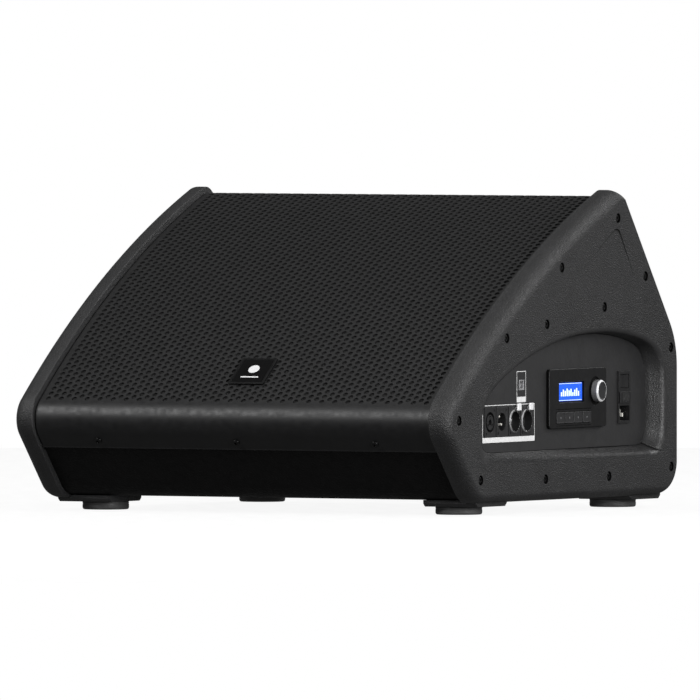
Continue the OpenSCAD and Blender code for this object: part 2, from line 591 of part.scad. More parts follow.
module encoder_shaft() color([0.75, 0.75, 0.76]) in_body() at_bay() rod([-13, bezel_h + knob_h - 2.5], enc_v, enc_z, 6);
module encoder_knob() color([0.35, 0.35, 0.36]) in_body() at_bay() translate([bezel_h + 0.3, enc_v, enc_z]) rotate([0, 90, 0])
  difference() {
    rotate_extrude() polygon([[3.06, 0], [11.6, 0], [11.6, knob_h - 1.6], [10.2, knob_h], [8.6, knob_h], [8, knob_h - 0.5],
      [0, knob_h - 0.5], [0, knob_h - 2.4], [3.06, knob_h - 2.4]]);
    for (i = [0:29]) rotate(12 * i) translate([11.6, 0, 1.2]) cylinder(d = 0.9, h = knob_h - 3.4);
  }

inlet_z = [91, 110.5];
module power_inlet() color([0.04, 0.04, 0.042]) in_body() at_bay() difference() {
  union() {
    block([0, 1.8], pow_v, pow_z);
    block([-26, 0.01], [pow_v[0] + 2, pow_v[1] - 2], [pow_z[0] + 2, pow_z[1] - 2]);
  }
  // plug cavity
  block([-17, 4], [pow_v[0] + 2.9, pow_v[1] - 2.9], [92, 107.8]);
  for (p = pin_vz) block([-27, -16], [p[0] - 0.85, p[0] + 0.85], [p[1] - 2.05, p[1] + 2.05]);
  // fuse drawer slot
  block([-25, 4], [pow_v[0] + 3, pow_v[1] - 3], [111, 122]);
  // switch well, with a blind hole above and below for the rocker's axle
  block([-15, 4], [pow_v[0] + 4, pow_v[1] - 4], [126, 141]);
  translate([rocker_u, pow_c, 125]) cylinder(d = 3.1, h = 16.7);
}
pow_c = (pow_v[0] + pow_v[1]) / 2;
pin_vz = [[pow_c - 7, 98], [pow_c + 7, 98], [pow_c, 102]];
module inlet_pins() color([0.8, 0.78, 0.7]) in_body() at_bay() for (p = pin_vz)
  block([-30, -3.5], [p[0] - 0.8, p[0] + 0.8], [p[1] - 2, p[1] + 2]);
// rocker, tipped to one side at rest, turning on an upright axle
rocker_u = -4.5;
module rocker_switch() color([0.09, 0.09, 0.09]) in_body() at_bay() translate([rocker_u, pow_c, 0]) rotate([0, 0, -8]) {
  translate([0, 0, 126.6]) linear_extrude(13.8)
    polygon([[-3, -7], [-3, 7], [3.6, 9.3], [5.6, 9], [3.9, 0], [5.6, -9], [3.6, -9.3]]);
  translate([0, 0, 125.3]) cylinder(d = 3, h = 16.1);
}
module fuse_drawer() color([0.08, 0.08, 0.08]) in_body() at_bay() difference() {
  union() {
    block([-24, 1.8], [pow_v[0] + 3.3, pow_v[1] - 3.3], [111.3, 121.7]);
    block([2.1, 3.2], [pow_v[0] + 1.6, pow_v[1] - 1.6], [110.6, 122.6]);
    block([1.7, 2.2], [pow_v[0] + 5, pow_v[1] - 5], [112, 121]);
    for (i = [0:5]) block([3.1, 3.8], [pow_v[0] + 7 + i * 2.8, pow_v[0] + 8.2 + i * 2.8], [112, 121]);
  }
  // tray for the fuse, open at the top
  block([-22, -2.2], [pow_c - 3, pow_c + 3], [113, 123]);
}
module fuse() color([0.85, 0.86, 0.88]) in_body() at_bay() {
  rod([-17, -7], pow_c, 116, 4.6);
  rod([-21.8, -17], pow_c, 116, 5.2);
  rod([-7, -2.4], pow_c, 116, 5.2);
}
// printed field markings on the plate, plain boxes and bars
module panel_marks() color([0.85, 0.85, 0.85]) in_body() at_bay() intersection() {
  w = 0.7;
  h = 0.12;
  along_x(-1, 1) polygon([[12.8, 75.4], [12.8, 102], [20, 115], [20, 160], [200, 160], [200, 60], [30, 60]]);
  union() {
  block([0, h], [14, 139.6], [75.6, 81]);
  difference() { block([0, h], [14, 139.6], [81, 114.8]); block([-1, 1], [14 + w, 139.6 - w], [80, 114.8 - w]); }
  difference() { block([0, h], [96.6, 118.6], [121.5, 149]); block([-1, 1], [96.6 + w, 118.6 - w], [121.5 + w, 149 - w]); }
  block([0, h], [96.6, 118.6], [116.6, 121.5]);
  }
}

// ---- fasteners ----
module cross_screw(d, head, len) {
  difference() {
    union() {
      translate([0, 0, -len]) cylinder(d = d, h = len + 0.5);
      rotate_extrude() polygon([[0, 0], [head / 2, 0], [head / 2, 0.9], [head / 2 - 1.4, 2.3], [0, 2.5]]);
    }
    translate([0, 0, 1]) cylinder(d = head * 0.42, h = 4, $fn = 6);
  }
}
module cheek_screws() color([0.06, 0.06, 0.06]) in_body() both_sides()
  for (p = cheek_screw_yz) translate([half_w - 3.2, p[0], p[1]]) rotate([0, 90, 0]) cross_screw(4, 8.8, 32);
module grille_screws() color([0.06, 0.06, 0.06]) for (x = [-165, 0, 165]) at_lower(x, 7) cross_screw(3.5, 8, 12);
module driver_screws() color([0.3, 0.3, 0.3]) at_baffle() for (i = [0:7]) rotate(22.5 + 45 * i)
  translate([screw_pcd / 2, 0, 4]) cross_screw(4, 9, 15);
module feet() color([0.05, 0.05, 0.05]) in_body() both_sides() for (y = foot_y) translate([foot_x, y, 0])
  rotate_extrude() polygon([[8.5, 0], [foot_d / 2 - 1.6, 0], [foot_d / 2, 1.6], [foot_d / 2, foot_h], [2.4, foot_h], [2.4, 5], [8.5, 5]]);
module foot_screws() color([0.3, 0.3, 0.3]) in_body() both_sides() for (y = foot_y) translate([foot_x, y, 5])
  rotate([180, 0, 0]) cross_screw(4, 12, 20);

right_cheek();
left_cheek();
side_panel_right();
side_panel_left();
bottom_panel();
rear_panel();
rear_slope_panel();
lower_front_panel();
baffle();
grille();
grille_foam();
badge();
bass_ports();
woofer_frame();
woofer_surround();
woofer_spider();
woofer_cone();
voice_coil();
magnet_top_plate();
ring_magnet();
pole_piece();
hf_horn();
hf_driver();
hf_diaphragm();
amplifier_tray();
amplifier_board();
power_supply_board();
heatsink();
connector_plate();
io_board();
board_spacers();
combo_jack();
xlr_socket();
xlr_pins();
network_sockets();
network_latch_1();
network_latch_2();
usb_socket();
control_bezel();
display();
button_1();
button_2();
button_3();
button_4();
encoder_body();
encoder_shaft();
encoder_knob();
power_inlet();
inlet_pins();
rocker_switch();
fuse_drawer();
fuse();
cheek_screws();
grille_screws();
driver_screws();
tray_screws();
foot_screws();
feet();
panel_marks();
speaker_leads();
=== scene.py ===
# Looks for the stage monitor wedge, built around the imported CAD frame.
import json
import math

import bmesh
import bpy
import numpy as np
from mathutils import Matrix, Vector
from mathutils.geometry import delaunay_2d_cdt


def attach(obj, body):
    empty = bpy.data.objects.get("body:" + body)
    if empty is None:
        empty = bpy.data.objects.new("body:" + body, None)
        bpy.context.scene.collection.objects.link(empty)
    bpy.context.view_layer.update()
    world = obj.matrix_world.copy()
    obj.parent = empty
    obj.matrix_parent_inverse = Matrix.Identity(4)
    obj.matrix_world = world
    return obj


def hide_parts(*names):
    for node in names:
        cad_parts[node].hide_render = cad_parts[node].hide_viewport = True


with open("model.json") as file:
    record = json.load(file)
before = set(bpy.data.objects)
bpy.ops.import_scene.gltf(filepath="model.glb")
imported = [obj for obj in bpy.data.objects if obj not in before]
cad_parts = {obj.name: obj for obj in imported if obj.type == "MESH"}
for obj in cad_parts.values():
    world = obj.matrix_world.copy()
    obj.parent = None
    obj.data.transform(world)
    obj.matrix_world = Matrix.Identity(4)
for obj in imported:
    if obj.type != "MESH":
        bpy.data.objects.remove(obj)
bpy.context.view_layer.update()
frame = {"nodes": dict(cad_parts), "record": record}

MM = 0.001
scene = bpy.context.scene
NODES = frame["nodes"]
BODY_OF = {n: b for b, ns in frame["record"]["behaviour"]["bodies"].items() for n in ns}
SLOT_OF = {s["node"]: s["material_slot"] for s in frame["record"]["subparts"]}

# ---------------------------------------------------------------- dimensions, in millimetres
HALF_W, BODY_D, CHEEK_T, CHEEK_Z = 260.0, 512.0, 24.0, 12.5
CHEEK_X = HALF_W - CHEEK_T
FILLET = 15.0
NOSE_C, NOSE_R = np.array([31.0, 98.7]), 31.0
FRONT_A, LOWER_A, SLOPE_A, SLOPE_D = 130.1, 222.3, 37.4, 512.96
FRONT_R, APEX_R, REAR_R, HEEL_R, TOE_R = 1250.0, 22.0, 80.0, 34.0, 33.0


def direction(a):
    return np.array([math.cos(math.radians(a)), math.sin(math.radians(a))])


FRONT_C = NOSE_C + (NOSE_R - FRONT_R) * direction(FRONT_A)
APEX_A = SLOPE_A + math.degrees(math.acos((SLOPE_D - APEX_R - FRONT_C @ direction(SLOPE_A)) / (FRONT_R - APEX_R)))
APEX_C = FRONT_C + (FRONT_R - APEX_R) * direction(APEX_A)
REAR_C = np.array([BODY_D - REAR_R,
                   (SLOPE_D - REAR_R - (BODY_D - REAR_R) * math.cos(math.radians(SLOPE_A))) / math.sin(math.radians(SLOPE_A))])
HEEL_C = np.array([BODY_D - HEEL_R, CHEEK_Z + HEEL_R])
LOWER_D = NOSE_C @ direction(LOWER_A) + NOSE_R
TOE_C = np.array([(LOWER_D - TOE_R - (CHEEK_Z + TOE_R) * math.sin(math.radians(LOWER_A))) / math.cos(math.radians(LOWER_A)),
                  CHEEK_Z + TOE_R])
GRILLE_IN = [6.4, 3.2, 3.2, 6.4]
GRILLE_T = 1.6
GRILLE_X = CHEEK_X - 1.6
SCREWS_YZ = [[376, 306], [251, 256], [438, 244], [346, 213], [218, 197], [129, 184],
             [495, 168], [24, 100], [71.5, 37], [215, 35], [356, 35], [496, 42]]
FOOT_X, FOOT_Y = 211.0, [114.0, 456.0]
BAY_Y, TILT = 62.0, math.radians(2.577)
XLR_Z, COMBO_V, XLR_V, NET_V = 97.0, 31.0, 59.5, [89.0, 118.0]
BEZEL_V, BEZEL_Z, BEZEL_H = [168.0, 307.0], [87.2, 149.5], 3.8
LCD_V, LCD_Z = [192.0, 252.5], [114.0, 136.0]
KEY_V0, KEY_W, KEY_Z = 184.4, 21.2, [91.8, 104.4]
ENC_V, ENC_Z, KNOB_H = 279.7, 125.0, 8.0
POW_V, POW_Z = [341.0, 370.2], [89.7, 144.4]
RIM = [[70, 88], [71, 104], [78, 117], [92, 129], [114, 141], [145, 153], [180, 164],
       [215, 173], [250, 180], [290, 185], [330, 187], [370, 186.5], [405, 183], [437, 177],
       [461, 168], [475, 153], [480, 132], [480, 88], [477, 72], [467, 62], [450, 58.5],
       [300, 58.5], [150, 58.5], [90, 58.5], [76, 62], [71, 70]]
PLATE = [[72, 88], [73, 102], [80, 114], [94, 126], [116, 138], [147, 150.5], [182, 162],
         [216, 171], [251, 178], [290, 183], [330, 185], [369, 184], [402, 180.5], [431, 175.5],
         [453, 168], [466, 155], [471, 136], [472, 92], [469, 78], [461, 69.5], [447, 65.5],
         [300, 65], [150, 65], [94, 65], [80, 68], [73, 75]]


def mix(a, b, t):
    return a + (b - a) * t


def inset(a, d):
    if a <= 0:
        return mix(d[2], d[3], (a + 90) / 90)
    if a <= SLOPE_A:
        return d[3]
    if a <= APEX_A:
        return mix(d[3], d[0], (a - SLOPE_A) / (APEX_A - SLOPE_A))
    if a <= FRONT_A:
        return d[0]
    if a <= LOWER_A:
        return mix(d[0], d[1], (a - FRONT_A) / (LOWER_A - FRONT_A))
    return mix(d[1], d[2], (a - LOWER_A) / (270 - LOWER_A))


def arc(c, r, a0, a1, n, d, first=0):
    out = []
    for i in range(first, n + 1):
        a = a0 + (a1 - a0) * i / n
        out.append(c + (r - inset(a, d)) * direction(a))
    return out


def outline(d):
    """The cheek's side outline, counter-clockwise, as (Y from the nose, Z), inset by d = front, lower front, bottom, rear."""
    return np.array(arc(HEEL_C, HEEL_R, -90, 0, 16, d) + arc(REAR_C, REAR_R, 0, SLOPE_A, 12, d)
                    + arc(APEX_C, APEX_R, SLOPE_A, APEX_A, 20, d) + arc(FRONT_C, FRONT_R, APEX_A, FRONT_A, 36, d, 1)
                    + arc(NOSE_C, NOSE_R, FRONT_A, LOWER_A, 28, d, 1) + arc(TOE_C, TOE_R, LOWER_A, 270, 12, d))


def smooth_loop(points, m):
    """A closed Catmull-Rom curve through points, m pieces to a side."""
    p = np.array(points, float)
    n, out = len(p), []
    for i in range(n):
        a, b, c, d = p[i - 1], p[i], p[(i + 1) % n], p[(i + 2) % n]
        for k in range(m):
            t = k / m
            out.append(0.5 * (2 * b + (c - a) * t + (2 * a - 5 * b + 4 * c - d) * t * t + (3 * b - a - 3 * c + d) * t ** 3))
    return np.array(out)


def bay(u, v, z):
    """A point in the bay's own frame (u outward, v rearward, z up) as (X, Y, Z) in millimetres."""
    return (HALF_W + u * math.cos(TILT) - v * math.sin(TILT),
            BAY_Y + u * math.sin(TILT) + v * math.cos(TILT) - BODY_D / 2, z)


def unbay(p):
    """The bay's own (u, v, z) in millimetres of a point in metres."""
    x, y = p[0] / MM - HALF_W, p[1] / MM - BAY_Y + BODY_D / 2
    return x * math.cos(TILT) + y * math.sin(TILT), y * math.cos(TILT) - x * math.sin(TILT), p[2] / MM


# ---------------------------------------------------------------- mesh tools
def weigh(obj):
    """Shading normals follow the large flat faces, so that small rounded edges don't smear over them."""
    mod = obj.modifiers.new("weighted", "WEIGHTED_NORMAL")
    mod.keep_sharp = True
    mod.weight = 50


class Build:
    """Collects vertices in millimetres and faces, each with a material number."""

    def __init__(self):
        self.v, self.f, self.m = [], [], []

    def add(self, points):
        base = len(self.v)
        self.v += [tuple(float(c) for c in p) for p in points]
        return list(range(base, base + len(points)))

    def face(self, ids, mat=0):
        self.f.append(list(ids))
        self.m.append(mat)

    def bridge(self, a, b, mat=0, closed=True):
        n = len(a)
        for i in range(n if closed else n - 1):
            j = (i + 1) % n
            self.face([a[i], a[j], b[j], b[i]], mat)

    def object(self, name, materials, body, slot, replaces=(), sharp=35):
        mesh = bpy.data.meshes.new(name)
        mesh.from_pydata([(x * MM, y * MM, z * MM) for x, y, z in self.v], [], self.f)
        for mat in materials:
            mesh.materials.append(mat)
        mesh.polygons.foreach_set("material_index", self.m)
        bm = bmesh.new()
        bm.from_mesh(mesh)
        bmesh.ops.remove_doubles(bm, verts=bm.verts, dist=2e-6)
        bmesh.ops.dissolve_degenerate(bm, edges=bm.edges, dist=1e-7)
        loose = [x for x in bm.verts if not x.link_faces]
        bmesh.ops.delete(bm, geom=loose, context="VERTS")
        bmesh.ops.recalc_face_normals(bm, faces=bm.faces)
        bm.to_mesh(mesh)
        bm.free()
        mesh.update()
        mesh.shade_smooth()
        mesh.set_sharp_from_angle(angle=math.radians(sharp))
        obj = bpy.data.objects.new(name, mesh)
        scene.collection.objects.link(obj)
        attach(obj, body)
        if replaces:
            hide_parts(*replaces)
        weigh(obj)
        return obj


def inside(points, loop):
    """Which of points lie inside a closed loop."""
    points, loop = np.asarray(points, float), np.asarray(loop, float)
    x, y = points[:, 0], points[:, 1]
    hit = np.zeros(len(points), bool)
    a = loop
    b = np.roll(loop, -1, axis=0)
    for (x0, y0), (x1, y1) in zip(a, b):
        if y0 == y1:
            continue
        crosses = (y0 > y) != (y1 > y)
        hit ^= crosses & (x < (x1 - x0) * (y - y0) / (y1 - y0) + x0)
    return hit


def fill(outer, holes=(), extra=()):
    """Triangles of the flat region inside outer and outside holes. All are 2D loops; the ids run over outer, then holes, then extra loops."""
    loops = [np.asarray(outer, float)] + [np.asarray(h, float) for h in holes] + [np.asarray(e, float) for e in extra]
    points, edges = [], []
    for loop in loops:
        base, n = len(points), len(loop)
        points += [Vector((p[0], p[1])) for p in loop]
        edges += [(base + i, base + (i + 1) % n) for i in range(n)]
    vs, _, fs, ov, _, _ = delaunay_2d_cdt(points, edges, [], 0, 1e-5, True)
    back = [o[0] if o else None for o in ov]
    co = np.array([(v[0], v[1]) for v in vs])
    tri = np.array([f for f in fs if len(f) == 3])
    centre = co[tri].mean(axis=1)
    keep = inside(centre, outer)
    for h in holes:
        keep &= ~inside(centre, h)
    return [[back[i] for i in t] for t in tri[keep] if all(back[i] is not None for i in t)]


def circle(cv, cz, r, n=40, start=0.0):
    return np.array([[cv + r * math.cos(start + 2 * math.pi * i / n), cz + r * math.sin(start + 2 * math.pi * i / n)] for i in range(n)])


def rrect(v0, v1, z0, z1, r, n=5):
    out = []
    for cv, cz, a0 in ((v1 - r, z0 + r, -90), (v1 - r, z1 - r, 0), (v0 + r, z1 - r, 90), (v0 + r, z0 + r, 180)):
        for i in range(n + 1):
            a = math.radians(a0 + 90 * i / n)
            out.append([cv + r * math.cos(a), cz + r * math.sin(a)])
    return np.array(out)


def grow(loop, d):
    """A closed counter-clockwise loop moved outward by d."""
    p = np.asarray(loop, float)
    e = np.roll(p, -1, axis=0) - p
    length = np.maximum(np.hypot(e[:, 0], e[:, 1]), 1e-9)
    n = np.stack([e[:, 1] / length, -e[:, 0] / length], axis=1)
    m = n + np.roll(n, 1, axis=0)
    k = 1 + (n * np.roll(n, 1, axis=0)).sum(axis=1)
    return p + d * m / np.maximum(k, 0.3)[:, None]


def slab(b, place, outer, holes, u0, u1, edge=0.5, mat=0, hole_mat=None, wall_mat=None, steps=3):
    """A plate from u0 to u1 with a rounded upper edge. holes are (loop, floor u or None, edge rounding)."""
    rings = []
    for k in range(steps + 1):
        a = math.pi / 2 * k / steps
        rings.append((u1 - edge * (1 - math.sin(a)), -edge * (1 - math.cos(a))))
    ids = [b.add([place(u0, *p) for p in outer])]
    for u, d in rings:
        ids.append(b.add([place(u, *p) for p in grow(outer, d)]))
    for k, (low, high) in enumerate(zip(ids[:-1], ids[1:])):
        b.bridge(low, high, mat if k or wall_mat is None else wall_mat)
    top = [grow(outer, -edge)]
    maps = list(ids[-1])
    bottom_loops, bottom_ids = [np.asarray(outer)], list(ids[0])
    for loop, floor, r in holes:
        loop = np.asarray(loop, float)
        last = None
        for k in range(3):
            a = math.pi / 2 * k / 2
            ring = b.add([place(u1 - r * (1 - math.cos(a)), *p) for p in grow(loop, r * (1 - math.sin(a)))])
            if last is None:
                top.append(grow(loop, r))
                maps += ring
            else:
                b.bridge(last, ring, mat)
            last = ring
        low = b.add([place(u0 if floor is None else floor, *p) for p in loop])
        b.bridge(last, low, mat if hole_mat is None else hole_mat)
        if floor is None:
            bottom_loops.append(loop)
            bottom_ids += low
        else:
            for t in fill(loop):
                b.face([low[i] for i in t], mat if hole_mat is None else hole_mat)
    for t in fill(top[0], top[1:]):
        b.face([maps[i] for i in t], mat)
    for t in fill(bottom_loops[0], bottom_loops[1:]):
        b.face([bottom_ids[i] for i in reversed(t)], mat)


def lathe(b, place, profile, n=48, mats=None, closed=False, wave=None):
    """Turns (r, u) points about an axis: place(u, dv, dz) gives the point. wave(angle, r, u) may change the radius."""
    rings = []
    for r, u in profile:
        pts = []
        for i in range(n):
            a = 2 * math.pi * i / n
            rr = r if wave is None else wave(a, r, u)
            pts.append(place(u, rr * math.cos(a), rr * math.sin(a)))
        rings.append(b.add(pts))
    for k in range(len(rings) - 1):
        b.bridge(rings[k], rings[k + 1], 0 if mats is None else mats[k])
    if closed:
        b.bridge(rings[-1], rings[0], 0 if mats is None else mats[-1])
    else:
        b.face(list(reversed(rings[0])), 0 if mats is None else mats[0])
        b.face(rings[-1], 0 if mats is None else mats[-1])


def refined(node, material, bevel, segments=2, angle=30, name=None, slot=None, other=None, choose=None):
    """A copy of a CAD node with its hard edges rounded off, which replaces it."""
    mesh = NODES[node].data.copy()
    bm = bmesh.new()
    bm.from_mesh(mesh)
    bmesh.ops.remove_doubles(bm, verts=bm.verts, dist=2e-6)
    bmesh.ops.dissolve_limit(bm, angle_limit=math.radians(1), verts=bm.verts, edges=bm.edges, delimit=set())
    hard = [e for e in bm.edges if len(e.link_faces) == 2 and e.calc_face_angle(0) > math.radians(angle)]
    bmesh.ops.bevel(bm, geom=hard, offset=bevel * MM, segments=segments, profile=0.5, affect="EDGES", clamp_overlap=True)
    bmesh.ops.remove_doubles(bm, verts=bm.verts, dist=1e-6)
    bmesh.ops.dissolve_degenerate(bm, edges=bm.edges, dist=1e-7)
    bmesh.ops.recalc_face_normals(bm, faces=bm.faces)
    fresh = bpy.data.meshes.new(name or node + ".detail")
    bm.to_mesh(fresh)
    bm.free()
    fresh.materials.clear()
    fresh.materials.append(material)
    if other:
        fresh.materials.append(other)
    fresh.polygons.foreach_set("material_index", [int(bool(choose and choose(*unbay(f.center)))) for f in fresh.polygons])
    fresh.update()
    fresh.shade_smooth()
    fresh.set_sharp_from_angle(angle=math.radians(40))
    obj = bpy.data.objects.new(name or node + ".detail", fresh)
    scene.collection.objects.link(obj)
    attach(obj, BODY_OF[node])
    slot or SLOT_OF[node]
    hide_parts(node)
    weigh(obj)
    bpy.data.meshes.remove(mesh)
    return obj


# ---------------------------------------------------------------- materials
def node_material(name, color, rough, metallic=0.0, vary=0.12, vary_scale=45.0, rough_vary=0.08, rough_scale=140.0,
                  bumps=(), wear=None, specular=0.5, dust=0.0, coat=0.0, sheen=0.0, stretch=None, emission=None):
    """A procedural surface: colour and roughness vary, bumps are (kind, scale, strength, distance in mm), wear lightens hard edges."""
    mat = bpy.data.materials.new(name)
    mat.use_nodes = True
    mat.diffuse_color = (*color, 1)
    nt = mat.node_tree
    nodes, links = nt.nodes, nt.links
    bsdf = nodes["Principled BSDF"]
    bsdf.inputs["Metallic"].default_value = metallic
    bsdf.inputs["Specular IOR Level"].default_value = specular
    bsdf.inputs["Coat Weight"].default_value = coat
    bsdf.inputs["Coat Roughness"].default_value = 0.15
    bsdf.inputs["Sheen Weight"].default_value = sheen
    coord = nodes.new("ShaderNodeTexCoord")
    vector = coord.outputs["Object"]
    if stretch:
        mapping = nodes.new("ShaderNodeMapping")
        mapping.inputs["Scale"].default_value = stretch
        links.new(vector, mapping.inputs["Vector"])
        vector = mapping.outputs["Vector"]
    tone = nodes.new("ShaderNodeTexNoise")
    tone.inputs["Scale"].default_value = vary_scale
    tone.inputs["Detail"].default_value = 6.0
    links.new(vector, tone.inputs["Vector"])
    ramp = nodes.new("ShaderNodeValToRGB")
    ramp.color_ramp.elements[0].position = 0.3
    ramp.color_ramp.elements[1].position = 0.7
    ramp.color_ramp.elements[0].color = (*[c * (1 - vary) for c in color], 1)
    ramp.color_ramp.elements[1].color = (*[min(1.0, c * (1 + vary) + dust) for c in color], 1)
    links.new(tone.outputs["Fac"], ramp.inputs["Fac"])
    colour = ramp.outputs["Color"]
    if wear:
        amount, tint = wear
        geo = nodes.new("ShaderNodeNewGeometry")
        edge = nodes.new("ShaderNodeMapRange")
        edge.inputs["From Min"].default_value = 0.52
        edge.inputs["From Max"].default_value = 0.62
        edge.inputs["To Max"].default_value = amount
        links.new(geo.outputs["Pointiness"], edge.inputs["Value"])
        blend = nodes.new("ShaderNodeMix")
        blend.data_type = "RGBA"
        blend.inputs["B"].default_value = (*tint, 1)
        links.new(edge.outputs["Result"], blend.inputs["Factor"])
        links.new(colour, blend.inputs["A"])
        colour = blend.outputs["Result"]
    links.new(colour, bsdf.inputs["Base Color"])
    grain = nodes.new("ShaderNodeTexNoise")
    grain.inputs["Scale"].default_value = rough_scale
    grain.inputs["Detail"].default_value = 4.0
    links.new(vector, grain.inputs["Vector"])
    span = nodes.new("ShaderNodeMapRange")
    span.inputs["From Min"].default_value = 0.3
    span.inputs["From Max"].default_value = 0.7
    span.inputs["To Min"].default_value = max(0.02, rough - rough_vary)
    span.inputs["To Max"].default_value = min(1.0, rough + rough_vary)
    links.new(grain.outputs["Fac"], span.inputs["Value"])
    links.new(span.outputs["Result"], bsdf.inputs["Roughness"])
    normal = None
    for kind, scale, strength, distance in bumps:
        if kind == "voronoi":
            tex = nodes.new("ShaderNodeTexVoronoi")
            tex.feature = "SMOOTH_F1"
            out = tex.outputs["Distance"]
        elif kind == "wave":
            tex = nodes.new("ShaderNodeTexWave")
            tex.inputs["Distortion"].default_value = 1.5
            tex.inputs["Detail"].default_value = 2.0
            out = tex.outputs["Fac"]
        else:
            tex = nodes.new("ShaderNodeTexNoise")
            tex.inputs["Detail"].default_value = 3.0
            out = tex.outputs["Fac"]
        tex.inputs["Scale"].default_value = scale
        links.new(vector, tex.inputs["Vector"])
        bump = nodes.new("ShaderNodeBump")
        bump.inputs["Strength"].default_value = strength
        bump.inputs["Distance"].default_value = distance * MM
        links.new(out, bump.inputs["Height"])
        if normal:
            links.new(normal, bump.inputs["Normal"])
        normal = bump.outputs["Normal"]
    if normal:
        links.new(normal, bsdf.inputs["Normal"])
    if emission:
        glow, strength = emission
        bsdf.inputs["Emission Strength"].default_value = strength
        light = nodes.new("ShaderNodeValToRGB")
        light.color_ramp.elements[0].color = (*[c * 0.85 for c in glow], 1)
        light.color_ramp.elements[1].color = (*glow, 1)
        links.new(tone.outputs["Fac"], light.inputs["Fac"])
        links.new(light.outputs["Color"], bsdf.inputs["Emission Color"])
    return mat


